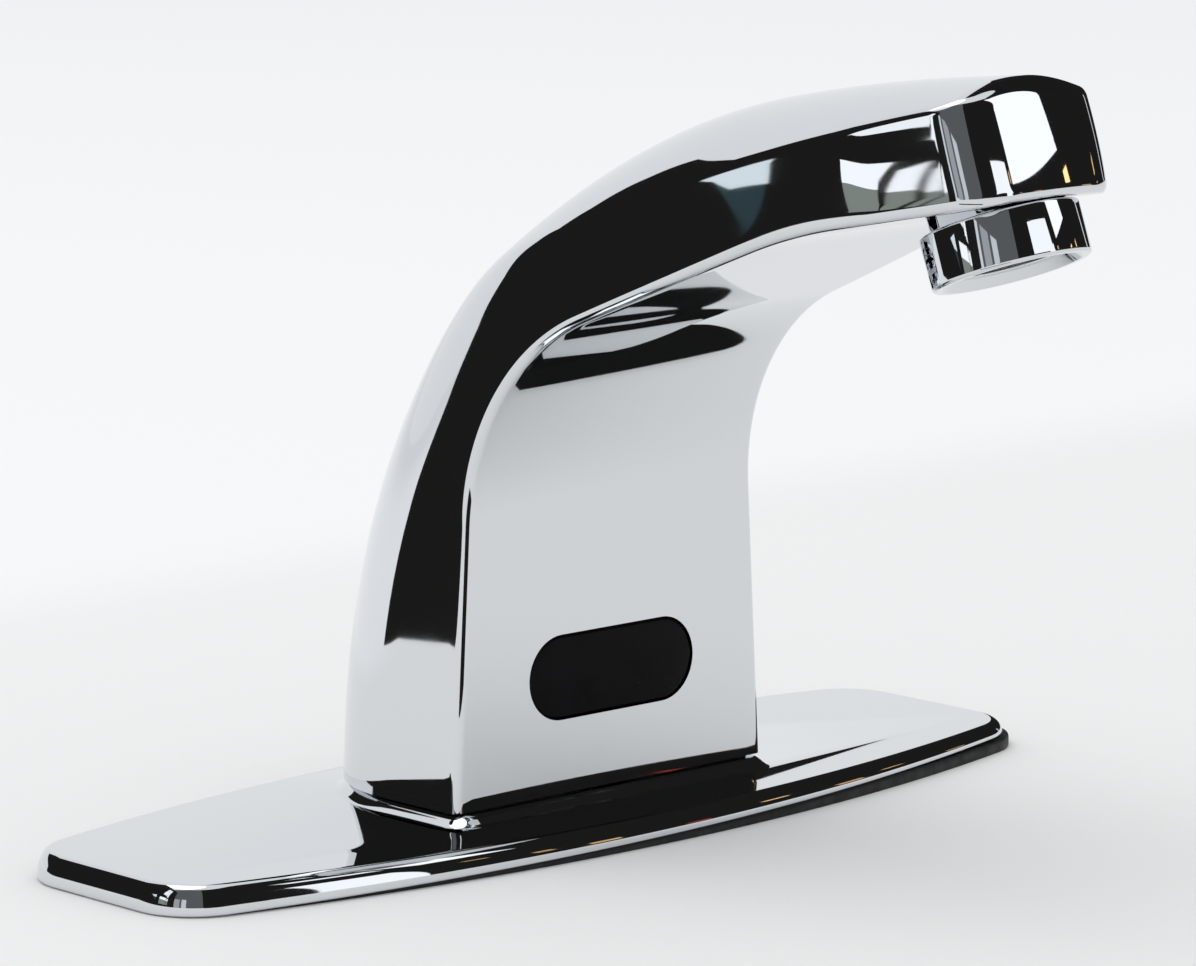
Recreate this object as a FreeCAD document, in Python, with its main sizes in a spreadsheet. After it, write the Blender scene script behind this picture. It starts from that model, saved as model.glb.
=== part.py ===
import FreeCAD, Part
import math
import os

import Sketcher
from FreeCAD import Placement, Rotation, Vector

# Sensor tap on a deck plate. +Z is up, the spout points to -Y and the plate runs along X.
# The origin is on the axis of the water inlet, at the surface that the plate stands on.

os.makedirs("parts", exist_ok=True)
doc = FreeCAD.newDocument("SensorTap")
sheet = doc.addObject("Spreadsheet::Sheet", "Sizes")

# Driving dimensions in millimetres and degrees.
SIZES = {
    # Deck plate and its gasket.
    "plate_length": 159.0,
    "plate_width": 55.6,
    "plate_end_width": 33.4,
    "plate_corner_radius": 10.0,
    "plate_thickness": 2.4,
    "rim_low": 0.12,
    "rim_slope": 0.0137,
    "plate_edge_radius": 1.8,
    "plate_sheet": 1.4,
    "plate_skirt": 1.6,
    "plate_hole_diameter": 35.0,
    "plate_hole_back": 3.0,
    "gasket_thickness": 1.8,
    "gasket_inset": 0.35,
    "gasket_overhang": 1.6,
    "gasket_clearance": 0.3,
    "gasket_rim_gap": 0.05,
    "gasket_least": 0.35,
    "boss_height": 1.5,
    "boss_front_margin": 2.6,
    "boss_side_margin": 0.1,
    "boss_edge_radius": 1.1,
    # Column and spout.
    "seal_thickness": 0.3,
    "seal_inset": 1.2,
    "seal_width": 2.4,
    "body_front": 14.2,
    "body_depth": 37.6,
    "body_width": 58.2,
    "side_draft": 0.055,
    "front_edge_radius": 1.4,
    "back_corner_radius": 22.0,
    "back_crown_radius": 60.0,
    "top_corner_radius": 1.5,
    "top_crown_radius": 31.0,
    "front_straight": 38.9,
    "throat_radius": 32.0,
    "throat_turn": 66.8,
    "throat_run": 29.0,
    "lip_radius": 70.0,
    "lip_turn": 11.0,
    "back_straight": 6.6,
    "back_radius": 93.8,
    "back_turn": 78.5,
    "crest_radius": 300.0,
    "crest_turn": 5.5,
    "nose_reach": 97.0,
    "chin_reach": 11.6,
    "nose_width": 24.4,
    "nose_corner_radius": 6.5,
    "nose_tilt": 19.0,
    "wall": 2.5,
    "chamber_height": 34.4,
    # Waterway through the body.
    "tube_outer": 8.0,
    "tube_inner": 6.4,
    "tube_clearance": 0.05,
    "tube_socket": 6.0,
    "waterway_diameter": 10.0,
    "waterway_radius": 42.0,
    "waterway_turn": 76.0,
    "waterway_end": 78.0,
    # Outlet and aerator, along their own tilted axis.
    "outlet_reach": 86.0,
    "outlet_height": 91.1,
    "outlet_tilt": 21.0,
    "outlet_pad_diameter": 22.0,
    "outlet_pad_height": 6.0,
    "thread_diameter": 18.0,
    "thread_clearance": 0.05,
    "thread_bore": 6.7,
    "outlet_bore": 14.4,
    "outlet_bore_top": 10.5,
    "aerator_diameter": 21.0,
    "aerator_height": 7.2,
    "aerator_gap": 0.1,
    "aerator_thread": 5.0,
    "aerator_mouth": 16.4,
    "aerator_mouth_depth": 1.5,
    "aerator_lip": 14.8,
    "aerator_lip_height": 1.0,
    "aerator_bore": 16.0,
    "cartridge_clearance": 0.1,
    "cartridge_height": 7.2,
    "cartridge_hole": 1.6,
    "cartridge_inner_ring": 3.0,
    "cartridge_inner_holes": 8,
    "cartridge_outer_ring": 5.6,
    "cartridge_outer_holes": 14,
    "screen_thickness": 0.3,
    "regulator_thickness": 1.5,
    "regulator_hole": 1.2,
    "regulator_ring": 4.4,
    "regulator_holes": 12,
    "washer_outer": 17.6,
    "washer_inner": 13.0,
    "washer_thickness": 1.6,
    "stack_gap": 0.05,
    # Sensor behind its window.
    "window_length": 30.6,
    "window_height": 11.7,
    "window_level": 22.2,
    "window_recess": 0.2,
    "window_clearance": 0.1,
    "window_flange": 1.1,
    "window_flange_thickness": 1.0,
    "window_seal": 0.5,
    "housing_length": 34.0,
    "housing_height": 15.0,
    "housing_depth": 5.6,
    "housing_wall": 1.0,
    "housing_clearance": 0.2,
    "ear_reach": 6.6,
    "ear_height": 7.0,
    "ear_thickness": 1.5,
    "board_margin": 0.3,
    "board_thickness": 1.0,
    "eye_spacing": 15.0,
    "eye_diameter": 5.0,
    "eye_length": 2.5,
    "ear_screw_spacing": 41.0,
    "ear_screw_diameter": 2.5,
    "ear_screw_head": 4.6,
    "ear_screw_head_height": 1.4,
    "ear_screw_length": 5.0,
    "ear_boss_diameter": 5.6,
    "screw_clearance": 0.05,
    "screw_end_gap": 1.0,
    # Brass base that closes the column and takes the fixings.
    "base_thickness": 4.0,
    "base_clearance": 0.15,
    "base_screw_spacing": 37.0,
    "base_screw_back": 10.0,
    "base_screw_diameter": 4.0,
    "base_screw_head": 7.6,
    "base_screw_length": 14.0,
    "base_boss_diameter": 8.6,
    "stud_spacing": 25.0,
    "stud_hole_diameter": 6.0,
    "connector_flange": 17.0,
    "connector_flange_thickness": 2.0,
    "connector_diameter": 14.0,
    "connector_height": 14.0,
    "inlet_diameter": 10.0,
    "inlet_depth": 8.0,
    "inlet_ledge": 1.0,
    "ring_section": 1.6,
    "ring_level": 12.0,
    "collar_wall": 3.2,
    "collar_height": 3.2,
    "grommet_hole": 8.0,
    "grommet_back": 14.0,
    "grommet_rim": 1.4,
    "grommet_lip": 1.0,
    "cable_hole": 4.2,
    # How far a cutting tool runs past the faces that it opens.
    "tool_overrun": 1.0,
}

for row, (alias, number) in enumerate(SIZES.items(), start=1):
    sheet.set(f"A{row}", alias)
    sheet.set(f"B{row}", str(number))
    sheet.setAlias(f"B{row}", alias)
doc.recompute()


def size(alias):
    """Value of a driving dimension as the sheet holds it."""
    return float(sheet.get(alias))


# Levels that pieces share, worked out from the driving dimensions.
plate_top = size("gasket_thickness") + size("plate_thickness")
boss_top = plate_top + size("boss_height")
column_foot = boss_top + size("seal_thickness")
chamber_top = column_foot + size("chamber_height")
front_face = -size("body_front")
overrun = size("tool_overrun")

# The same levels as formulas, for the pieces that are bound to the sheet.
FOOT = "(Sizes.gasket_thickness + Sizes.plate_thickness + Sizes.boss_height + Sizes.seal_thickness)"
BASE_TOP = f"({FOOT} + Sizes.base_thickness)"
CHAMBER_TOP = f"({FOOT} + Sizes.chamber_height)"
INNER_FACE = "(Sizes.wall - Sizes.body_front)"
FLANGE_FRONT = f"({INNER_FACE} + Sizes.window_seal)"
FLANGE_BACK = f"({FLANGE_FRONT} + Sizes.window_flange_thickness)"

nodes = []


def keep(item, label):
    """Name a finished sub-part and list it for export."""
    item.Label = label
    nodes.append(item)
    return item


def solid_feature(name, shape):
    """Sub-part or tool whose shape comes from curves that no primitive has."""
    item = doc.addObject("Part::Feature", name)
    item.Shape = shape
    return item


def cylinder(name, radius, height, base=("0", "0", "0"), along="z"):
    """Cylinder bound to the sheet; it grows from its base along +Z, or along +Y."""
    item = doc.addObject("Part::Cylinder", name)
    if along == "y":
        item.Placement = Placement(Vector(), Rotation(Vector(1, 0, 0), -90))
    item.setExpression("Radius", radius)
    item.setExpression("Height", height)
    for letter, formula in zip("xyz", base):
        item.setExpression(f"Placement.Base.{letter}", formula)
    return item


def box(name, length, width, height, base):
    """Box bound to the sheet, from its lowest corner."""
    item = doc.addObject("Part::Box", name)
    item.setExpression("Length", length)
    item.setExpression("Width", width)
    item.setExpression("Height", height)
    for letter, formula in zip("xyz", base):
        item.setExpression(f"Placement.Base.{letter}", formula)
    return item


def cut(name, base, tools):
    """One piece less one or more tools."""
    item = doc.addObject("Part::Cut", name)
    item.Base = base
    item.Tool = tools[0] if len(tools) == 1 else fuse(name + "Tools", tools)
    return item


def fuse(name, items):
    """Several pieces as one."""
    item = doc.addObject("Part::MultiFuse", name)
    item.Shapes = items
    item.Refine = True
    return item


def group(name, items):
    """Separate solids of one kind in one node."""
    item = doc.addObject("Part::Compound", name)
    item.Links = items
    return item


def mirrored_pair(maker):
    """The same piece on both sides of the middle plane."""
    return [maker("Left", "-"), maker("Right", "")]


def stadium(name, length, height, depth, front):
    """Bar with round ends that lies along X at the window's level and grows along +Y."""
    middle = box(name + "Middle", f"{length} - {height}", depth, height,
                 (f"-({length} - {height}) / 2", front, f"Sizes.window_level - {height} / 2"))
    ends = mirrored_pair(lambda side, sign: cylinder(
        name + side, f"{height} / 2", depth,
        (f"{sign}({length} - {height}) / 2", front, "Sizes.window_level"), "y"))
    return fuse(name, [middle] + ends)


def turned(name, outline, place=Placement()):
    """Body turned about its own Z axis from (radius, level) corners bound to the sheet."""
    body = doc.addObject("PartDesign::Body", name)
    plane = next(f for f in body.Origin.OriginFeatures if f.Role == "XZ_Plane")
    sketch = body.newObject("Sketcher::SketchObject", name + "Outline")
    sketch.AttachmentSupport = [(plane, "")]
    sketch.MapMode = "FlatFace"
    corners = [Vector(*[float(sheet.evalExpression(text)) for text in corner], 0) for corner in outline]
    count = len(corners)
    for index, start in enumerate(corners):
        sketch.addGeometry(Part.LineSegment(start, corners[(index + 1) % count]))
    for index in range(count):
        sketch.addConstraint(Sketcher.Constraint("Coincident", index, 2, (index + 1) % count, 1))
    for index, corner in enumerate(corners):
        for kind, number, text in (("DistanceX", corner.x, outline[index][0]),
                                   ("DistanceY", corner.y, outline[index][1])):
            place_in_list = sketch.addConstraint(Sketcher.Constraint(kind, -1, 1, index, 1, number))
            sketch.setExpression(f"Constraints[{place_in_list}]", text)
    turn = body.newObject("PartDesign::Revolution", name + "Turn")
    turn.Profile = sketch
    turn.ReferenceAxis = (sketch, ["V_Axis"])
    turn.Angle = 360
    body.Tip = turn
    body.Placement = place
    return body


def check_document():
    """Stop before anything is written if an object failed."""
    doc.recompute()
    for item in doc.Objects:
        if "Invalid" in item.State or "Error" in item.State:
            raise RuntimeError(f"{item.Name} failed: {item.State}")
    for item in nodes:
        if item.Shape.isNull() or not item.Shape.isValid():
            raise RuntimeError(f"{item.Label} has no valid shape")


# Deck plate and gasket: long edges bow out, ends are straight with round corners.

def plate_outline(grow, level):
    """Outline of the plate, grown by a margin all round."""
    end = size("plate_length") / 2 + grow
    side = size("plate_end_width") / 2 + grow
    middle = size("plate_width") / 2 + grow
    edges = [
        Part.Arc(Vector(-end, -side, level), Vector(0, -middle, level), Vector(end, -side, level)).toShape(),
        Part.LineSegment(Vector(end, -side, level), Vector(end, side, level)).toShape(),
        Part.Arc(Vector(end, side, level), Vector(0, middle, level), Vector(-end, side, level)).toShape(),
        Part.LineSegment(Vector(-end, side, level), Vector(-end, -side, level)).toShape(),
    ]
    return Part.Wire(edges)


def plate_block(grow, low, high):
    """Plate outline made solid between two levels, with its upright corners rounded."""
    block = Part.Face(plate_outline(grow, low)).extrude(Vector(0, 0, high - low))
    upright = [e for e in block.Edges if abs(e.tangentAt(e.FirstParameter).z) > 0.99]
    return block.makeFillet(size("plate_corner_radius") + grow, upright)


def rim_edges(shape, level):
    """Edges that lie at one level."""
    return [e for e in shape.Edges if abs(e.BoundBox.ZMin - level) < 1e-6 and abs(e.BoundBox.ZMax - level) < 1e-6]


def column_outline(grow, front_grow, level):
    """D-shaped outline of the column's foot, grown at its sides and back, and at its front."""
    side = size("body_width") / 2 + grow
    front = front_face - front_grow
    crest = front_face + size("body_depth") + grow
    return outline_wire(Placement(Vector(0, 0, level), Rotation()), front, crest, side,
                        size("back_corner_radius") + grow, size("back_crown_radius") + grow,
                        size("front_edge_radius") + max(front_grow, 0.0))


def outline_wire(place, front, crest, side, corner, crown, edge):
    """Flat front, flat sides, two round corners and a crowned back, drawn in its own plane."""
    reach = math.sqrt((crown - corner) ** 2 - (side - corner) ** 2)
    corner_depth = crest - crown + reach
    crown_centre = Vector(0, crest - crown, 0)
    slant = Vector(side - corner, reach, 0).normalize()
    bend = (Vector(1, 0, 0) + slant).normalize()
    diagonal = edge * (1 - math.sqrt(0.5))

    def at(x, y):
        return place.multVec(Vector(x, y, 0))

    def corner_point(sign, direction):
        return at(sign * (side - corner + corner * direction.x), corner_depth + corner * direction.y)

    def crown_point(sign):
        touch = crown_centre + slant * crown
        return at(sign * touch.x, touch.y)

    def arc(one, two, three):
        return Part.Arc(one, two, three).toShape()

    def line(one, two):
        return Part.LineSegment(one, two).toShape()

    return Part.Wire([
        line(at(-side + edge, front), at(side - edge, front)),
        arc(at(side - edge, front), at(side - diagonal, front + diagonal), at(side, front + edge)),
        line(at(side, front + edge), at(side, corner_depth)),
        arc(at(side, corner_depth), corner_point(1, bend), crown_point(1)),
        arc(crown_point(1), at(0, crest), crown_point(-1)),
        arc(crown_point(-1), corner_point(-1, bend), at(-side, corner_depth)),
        line(at(-side, corner_depth), at(-side, front + edge)),
        arc(at(-side, front + edge), at(-side + diagonal, front + diagonal), at(-side + edge, front)),
    ])


def slab(wire, thickness):
    """Solid above a flat outline."""
    return Part.Face(wire).extrude(Vector(0, 0, thickness))


def round_hole(diameter, low, high):
    """Tool for the hole in the plate that the fixings pass through."""
    return Part.makeCylinder(diameter / 2, high - low, Vector(0, size("plate_hole_back"), low))


def rim_box(low, high):
    """Tool between two heights above the rim's plane, which lies lower at the plate's left end."""
    wide = 3 * size("plate_length")
    tool = Part.makeBox(wide, wide, high - low, Vector(-wide / 2, -wide / 2, low))
    tilt = Rotation(Vector(0, 1, 0), -math.degrees(math.atan(size("rim_slope"))))
    tool.Placement = Placement(Vector(-size("plate_length") / 2, 0, size("rim_low")), tilt)
    return tool


def rim_band():
    """Tool round the plate's hollow, with the gasket's clearance from the skirt."""
    grow = size("gasket_overhang") + overrun
    outer = plate_block(grow, -overrun, plate_top)
    return outer.cut(plate_block(-size("plate_skirt") - size("gasket_clearance"), -overrun, plate_top))


def deck_gasket():
    """Black rubber that fills the hollow and comes out under the rim where that stands high enough.

    It has slipped, so its right end shows beyond the rim."""
    slip = size("gasket_inset") + size("gasket_overhang")
    block = plate_block(-size("gasket_inset"), 0, size("gasket_thickness"))
    block.translate(Vector(slip, 0, 0))
    band = rim_band()
    touching = band.common(rim_box(-size("gasket_rim_gap"), plate_top))
    wide = size("plate_length")
    lip_start = (size("gasket_least") + size("gasket_rim_gap") - size("rim_low")) / size("rim_slope") - wide / 2
    left = band.common(Part.makeBox(wide, wide, wide, Vector(lip_start - wide, -wide / 2, -wide / 2)))
    hole = round_hole(size("plate_hole_diameter"), -overrun, size("gasket_thickness") + overrun)
    rubber = block.cut(touching).cut(left).cut(hole)
    return keep(solid_feature("DeckGasket", rubber.removeSplitter()), "deck_gasket")


def deck_plate():
    """Pressed cover with a rolled edge, a raised boss under the column and a hollow below."""
    block = plate_block(0, 0, plate_top)
    block = block.makeFillet(size("plate_edge_radius"), rim_edges(block, plate_top))
    boss_foot = plate_top - size("plate_sheet") / 2
    boss = slab(column_outline(size("boss_side_margin"), size("boss_front_margin"), boss_foot),
                boss_top - boss_foot)
    boss = boss.makeFillet(size("boss_edge_radius"), rim_edges(boss, boss_top))
    hollow = plate_block(-size("plate_skirt"), -overrun, plate_top - size("plate_sheet"))
    hole = round_hole(size("plate_hole_diameter"), -overrun, boss_top + overrun)
    cover = block.fuse(boss).cut(rim_box(-plate_top, 0)).cut(hollow).cut(hole)
    return keep(solid_feature("DeckPlate", cover.removeSplitter()), "deck_plate")


def base_seal():
    """Thin D-shaped rubber ring between the boss and the column's foot."""
    outer = size("seal_inset")
    inner = outer + size("seal_width")
    ring = slab(column_outline(-outer, -outer, boss_top), size("seal_thickness"))
    opening = slab(column_outline(-inner, -inner, boss_top - overrun), size("seal_thickness") + 2 * overrun)
    return keep(solid_feature("BaseSeal", ring.cut(opening)), "base_seal")


# Column and spout: D-shaped sections that lean over from the foot to the nose.

class Profile:
    """Side profile in the middle plane, made of straights and arcs; headings start upright at 0."""

    def __init__(self, start):
        self.pieces = []
        self.point = start
        self.heading = 0.0
        self.length = 0.0

    def straight(self, run):
        self.pieces.append((self.length, self.point, self.heading, None))
        angle = math.radians(self.heading)
        self.point = self.point + Vector(0, -math.sin(angle), math.cos(angle)) * run
        self.length += run
        return self

    def bend(self, radius, turn):
        """Positive turns lean further forward and negative turns lift again."""
        self.pieces.append((self.length, self.point, self.heading, math.copysign(radius, turn)))
        self.point = self.spot(self.pieces[-1], radius * math.radians(abs(turn)))
        self.heading += turn
        self.length += radius * math.radians(abs(turn))
        return self

    @staticmethod
    def spot(piece, run):
        """Point at a distance along one straight or arc."""
        _, start, heading, radius = piece
        angle = math.radians(heading)
        if radius is None:
            return start + Vector(0, -math.sin(angle), math.cos(angle)) * run
        swept = angle + run / radius
        return start + Vector(0, math.cos(swept) - math.cos(angle), math.sin(swept) - math.sin(angle)) * radius

    def along(self, run):
        """Point at a distance from the start."""
        piece = [p for p in self.pieces if p[0] <= run + 1e-9][-1]
        return self.spot(piece, run - piece[0])

    def crossing(self, start, lean):
        """Point where a line from another point, at a lean above +Y, meets this profile."""
        across = Vector(0, -math.sin(math.radians(lean)), math.cos(math.radians(lean)))
        low, high = 0.0, self.length
        while high - low > 1e-7:
            middle = (low + high) / 2
            if (self.along(middle) - start).dot(across) < 0:
                low = middle
            else:
                high = middle
        return self.along(low)


def front_profile():
    """Front face, throat and underside of the spout, to just past the nose."""
    line = Profile(Vector(0, front_face, column_foot))
    line.straight(size("front_straight"))
    line.bend(size("throat_radius"), size("throat_turn"))
    line.straight(size("throat_run"))
    line.bend(size("lip_radius"), size("lip_turn"))
    past_nose = size("nose_reach") + size("wall") + line.point.y
    line.straight(past_nose / math.sin(math.radians(line.heading)))
    return line


def back_profile():
    """Back of the column and crest of the spout, to well past the nose."""
    line = Profile(Vector(0, front_face + size("body_depth"), column_foot))
    line.straight(size("back_straight"))
    line.bend(size("back_radius"), size("back_turn"))
    line.bend(size("crest_radius"), size("crest_turn"))
    return line.straight(size("nose_reach"))


# Where the sections stand: a share of the front profile, how far the section leans over, and how
# far the back's round corners have closed to the crisp top edge.
SECTIONS = [
    (0.0, 0.0, 0.0),
    (0.10, 0.0, 0.0),
    (0.20, 1.5, 0.02),
    (0.27, 7.0, 0.06),
    (0.33, 18.0, 0.14),
    (0.385, 33.0, 0.30),
    (0.44, 48.0, 0.54),
    (0.50, 61.0, 0.80),
    (0.56, 70.5, 0.94),
    (0.64, 78.0, 0.99),
    (0.73, 82.0, 1.0),
    (0.82, 84.0, 1.0),
    (0.91, 85.0, 1.0),
    (1.0, 85.5, 1.0),
]


NARROWING_POWER = 3


def nose_narrowing(length):
    """How much narrower each side is at the nose than the column's even draft would make it."""
    return (size("body_width") - size("nose_width")) / 2 - size("side_draft") * length


def half_width(share, length):
    """Half of the width: an even draft, and a faster narrowing towards the nose."""
    shoulder = size("front_straight") / length
    even = size("body_width") / 2 - size("side_draft") * share * length
    return even - nose_narrowing(length) * max(0.0, (share - shoulder) / (1 - shoulder)) ** NARROWING_POWER


def section_wire(front_line, back_line, station, inset):
    """One section of the column or spout, or of its chamber where it is inset by the wall."""
    share, lean, closed = station
    low = front_line.along(share * front_line.length)
    high = back_line.crossing(low, lean)
    corner = size("back_corner_radius") * (1 - closed) + size("top_corner_radius") * closed
    crown = size("back_crown_radius") * (1 - closed) + size("top_crown_radius") * closed
    side = half_width(share, front_line.length)
    place = Placement(low, Rotation(Vector(1, 0, 0), lean))
    return outline_wire(place, inset, low.distanceToPoint(high) - inset, side - inset,
                        corner - inset, crown - inset, size("front_edge_radius"))


def nose_block(front_line):
    """Block that the spout is trimmed to: a tilted flat nose with round upright corners."""
    straight = front_line.length - size("front_straight")
    slope = size("side_draft") + NARROWING_POWER * nose_narrowing(front_line.length) / straight
    spread = math.atan(slope)
    radius = size("nose_corner_radius")
    side = size("nose_width") / 2
    turn = math.pi / 2 - spread
    tangent = radius * math.tan(turn / 2)
    depth = 2 * (size("nose_reach") + size("body_depth"))

    def flank(sign, run):
        return Vector(sign * (side + run * math.sin(spread)), run * math.cos(spread), 0)

    def corner_arc(sign):
        centre = Vector(sign * (side - tangent), radius, 0)
        middle = centre + Vector(sign * math.sin(turn / 2), -math.cos(turn / 2), 0) * radius
        return Part.Arc(Vector(sign * (side - tangent), 0, 0), middle, flank(sign, tangent)).toShape()

    outline = Part.Wire([
        Part.LineSegment(Vector(tangent - side, 0, 0), Vector(side - tangent, 0, 0)).toShape(),
        corner_arc(1),
        Part.LineSegment(flank(1, tangent), flank(1, depth)).toShape(),
        Part.LineSegment(flank(1, depth), flank(-1, depth)).toShape(),
        Part.LineSegment(flank(-1, depth), flank(-1, tangent)).toShape(),
        corner_arc(-1),
    ])
    height = 2 * size("nose_reach")
    block = Part.Face(outline).extrude(Vector(0, 0, 2 * height))
    block.translate(Vector(0, 0, -height))
    chin = outlet_place().multVec(Vector(0, -size("chin_reach"), 0))
    block.Placement = Placement(chin, Rotation(Vector(1, 0, 0), -size("nose_tilt"))).multiply(block.Placement)
    return block


def outlet_place():
    """Frame of the outlet: its Z axis points up into the spout, its origin lies on the seat."""
    seat = Vector(0, -size("outlet_reach"), size("outlet_height"))
    return Placement(seat, Rotation(Vector(1, 0, 0), -size("outlet_tilt")))


def in_outlet(shape):
    """Move a shape that was drawn about the outlet's own axis to its place."""
    shape.Placement = outlet_place().multiply(shape.Placement)
    return shape


def disc(diameter, low, high):
    """Cylinder about the local Z axis between two levels."""
    return Part.makeCylinder(diameter / 2, high - low, Vector(0, 0, low))


def waterway(radius):
    """Cored passage from the top of the supply tube, round the bend and down the spout."""
    start = Vector(0, 0, chamber_top + size("tube_socket"))
    line = Profile(start).bend(size("waterway_radius"), size("waterway_turn"))
    end = line.spot((0, line.point, line.heading, None),
                    (size("waterway_end") + line.point.y) / math.sin(math.radians(line.heading)))
    middle = line.along(line.length / 2)
    path = Part.Wire([Part.Arc(start, middle, line.point).toShape(),
                      Part.LineSegment(line.point, end).toShape()])
    mouth = Part.Wire([Part.Circle(start, Vector(0, 0, 1), radius).toShape()])
    return path.makePipeShell([mouth], True, False)


def chamber(front_line, back_line):
    """Hollow of the column, open at the foot."""
    wires = []
    for part in (0.0, 0.5, 1.0):
        station = (part * size("chamber_height") / front_line.length, 0.0, 0.0)
        wires.append(section_wire(front_line, back_line, station, size("wall")))
    return Part.makeLoft(wires, True, False)


def body_shell():
    """Chromed casting without its bosses and bores."""
    front_line = front_profile()
    back_line = back_profile()
    wires = [section_wire(front_line, back_line, station, 0.0) for station in SECTIONS]
    outer = Part.makeLoft(wires, True, False).common(nose_block(front_line))
    pad = in_outlet(disc(size("outlet_pad_diameter"), 0, size("outlet_pad_height")))
    wide = size("body_width")
    reach = size("outlet_pad_diameter") / 2
    below_seat = in_outlet(Part.makeBox(wide, wide, wide / 2, Vector(-wide / 2, reach - wide, -wide / 2)))
    return outer.fuse(pad).cut(below_seat), chamber(front_line, back_line)


def tap_body():
    """Casting with its window opening, screw bosses, tube socket, waterway and threaded outlet."""
    outer, hollow = body_shell()
    shell = solid_feature("BodyShell", outer)
    cavity = solid_feature("BodyCavity", hollow)
    hollowed = cut("BodyHollowed", shell, [cavity])
    ear_bosses = mirrored_pair(lambda side, sign: cylinder(
        "EarBoss" + side, "Sizes.ear_boss_diameter / 2",
        f"{FLANGE_BACK} + Sizes.housing_depth - Sizes.ear_thickness - {INNER_FACE} + Sizes.wall / 2",
        (f"{sign}Sizes.ear_screw_spacing / 2", f"{INNER_FACE} - Sizes.wall / 2", "Sizes.window_level"), "y"))
    base_bosses = mirrored_pair(lambda side, sign: cylinder(
        "BaseBoss" + side, "Sizes.base_boss_diameter / 2", f"{CHAMBER_TOP} - {BASE_TOP} + Sizes.wall / 2",
        (f"{sign}Sizes.base_screw_spacing / 2", "Sizes.base_screw_back", BASE_TOP)))
    solid = fuse("BodyBossed", [hollowed] + ear_bosses + base_bosses)
    opening = stadium("WindowOpening", "(Sizes.window_length + 2 * Sizes.window_clearance)",
                      "(Sizes.window_height + 2 * Sizes.window_clearance)", "Sizes.wall + 2 * Sizes.tool_overrun",
                      "-Sizes.body_front - Sizes.tool_overrun")
    ear_holes = mirrored_pair(lambda side, sign: cylinder(
        "EarHole" + side, "Sizes.ear_screw_diameter / 2 + Sizes.screw_clearance",
        "Sizes.ear_screw_length + Sizes.screw_end_gap",
        (f"{sign}Sizes.ear_screw_spacing / 2",
         f"{FLANGE_BACK} + Sizes.housing_depth - Sizes.ear_screw_length - Sizes.screw_end_gap",
         "Sizes.window_level"), "y"))
    base_holes = mirrored_pair(lambda side, sign: cylinder(
        "BaseHole" + side, "Sizes.base_screw_diameter / 2 + Sizes.screw_clearance",
        "Sizes.base_screw_length + Sizes.screw_end_gap",
        (f"{sign}Sizes.base_screw_spacing / 2", "Sizes.base_screw_back", FOOT)))
    socket = cylinder("TubeSocket", "Sizes.tube_outer / 2 + Sizes.tube_clearance",
                      "Sizes.tube_socket + Sizes.tool_overrun",
                      ("0", "0", f"{CHAMBER_TOP} - Sizes.tool_overrun"))
    passage = solid_feature("Waterway", waterway(size("waterway_diameter") / 2))
    bores = in_outlet(disc(size("thread_diameter"), -overrun, size("thread_bore")).fuse(
        disc(size("outlet_bore"), 0, size("outlet_bore_top"))))
    outlet = solid_feature("OutletBores", bores)
    tray_room = box("TrayRoom", "Sizes.housing_length + 2 * Sizes.housing_clearance",
                    "Sizes.housing_depth - Sizes.ear_thickness + Sizes.housing_clearance",
                    "Sizes.housing_height + 2 * Sizes.housing_clearance",
                    ("-Sizes.housing_length / 2 - Sizes.housing_clearance",
                     f"{FLANGE_BACK} - Sizes.housing_clearance",
                     "Sizes.window_level - Sizes.housing_height / 2 - Sizes.housing_clearance"))
    ear_room = box("EarRoom", "Sizes.housing_length + 2 * Sizes.ear_reach + 2 * Sizes.housing_clearance",
                   "Sizes.ear_thickness + Sizes.housing_clearance",
                   "Sizes.ear_height + 2 * Sizes.housing_clearance",
                   ("-Sizes.housing_length / 2 - Sizes.ear_reach - Sizes.housing_clearance",
                    f"{FLANGE_BACK} + Sizes.housing_depth - Sizes.ear_thickness",
                    "Sizes.window_level - Sizes.ear_height / 2 - Sizes.housing_clearance"))
    tools = [opening, socket, passage, outlet, tray_room, ear_room] + ear_holes + base_holes
    return keep(cut("TapBody", solid, tools), "tap_body")


# Sensor behind its window.

def sensor_window():
    """Dark lens that fills the opening, with a flange that rests on its seal from inside."""
    lens = stadium("Lens", "Sizes.window_length", "Sizes.window_height",
                   "Sizes.wall + Sizes.window_seal - Sizes.window_recess",
                   "Sizes.window_recess - Sizes.body_front")
    flange = stadium("LensFlange", "(Sizes.window_length + 2 * Sizes.window_flange)",
                     "(Sizes.window_height + 2 * Sizes.window_flange)",
                     "Sizes.window_flange_thickness", FLANGE_FRONT)
    return keep(fuse("SensorWindow", [lens, flange]), "sensor_window")


def window_seal():
    """Rubber ring between the wall and the lens's flange."""
    ring = stadium("SealRing", "(Sizes.window_length + 2 * Sizes.window_flange)",
                   "(Sizes.window_height + 2 * Sizes.window_flange)", "Sizes.window_seal", INNER_FACE)
    opening = stadium("SealOpening", "(Sizes.window_length + 2 * Sizes.window_clearance)",
                      "(Sizes.window_height + 2 * Sizes.window_clearance)",
                      "Sizes.window_seal + 2 * Sizes.tool_overrun", f"{INNER_FACE} - Sizes.tool_overrun")
    return keep(cut("WindowSeal", ring, [opening]), "window_seal")


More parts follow.
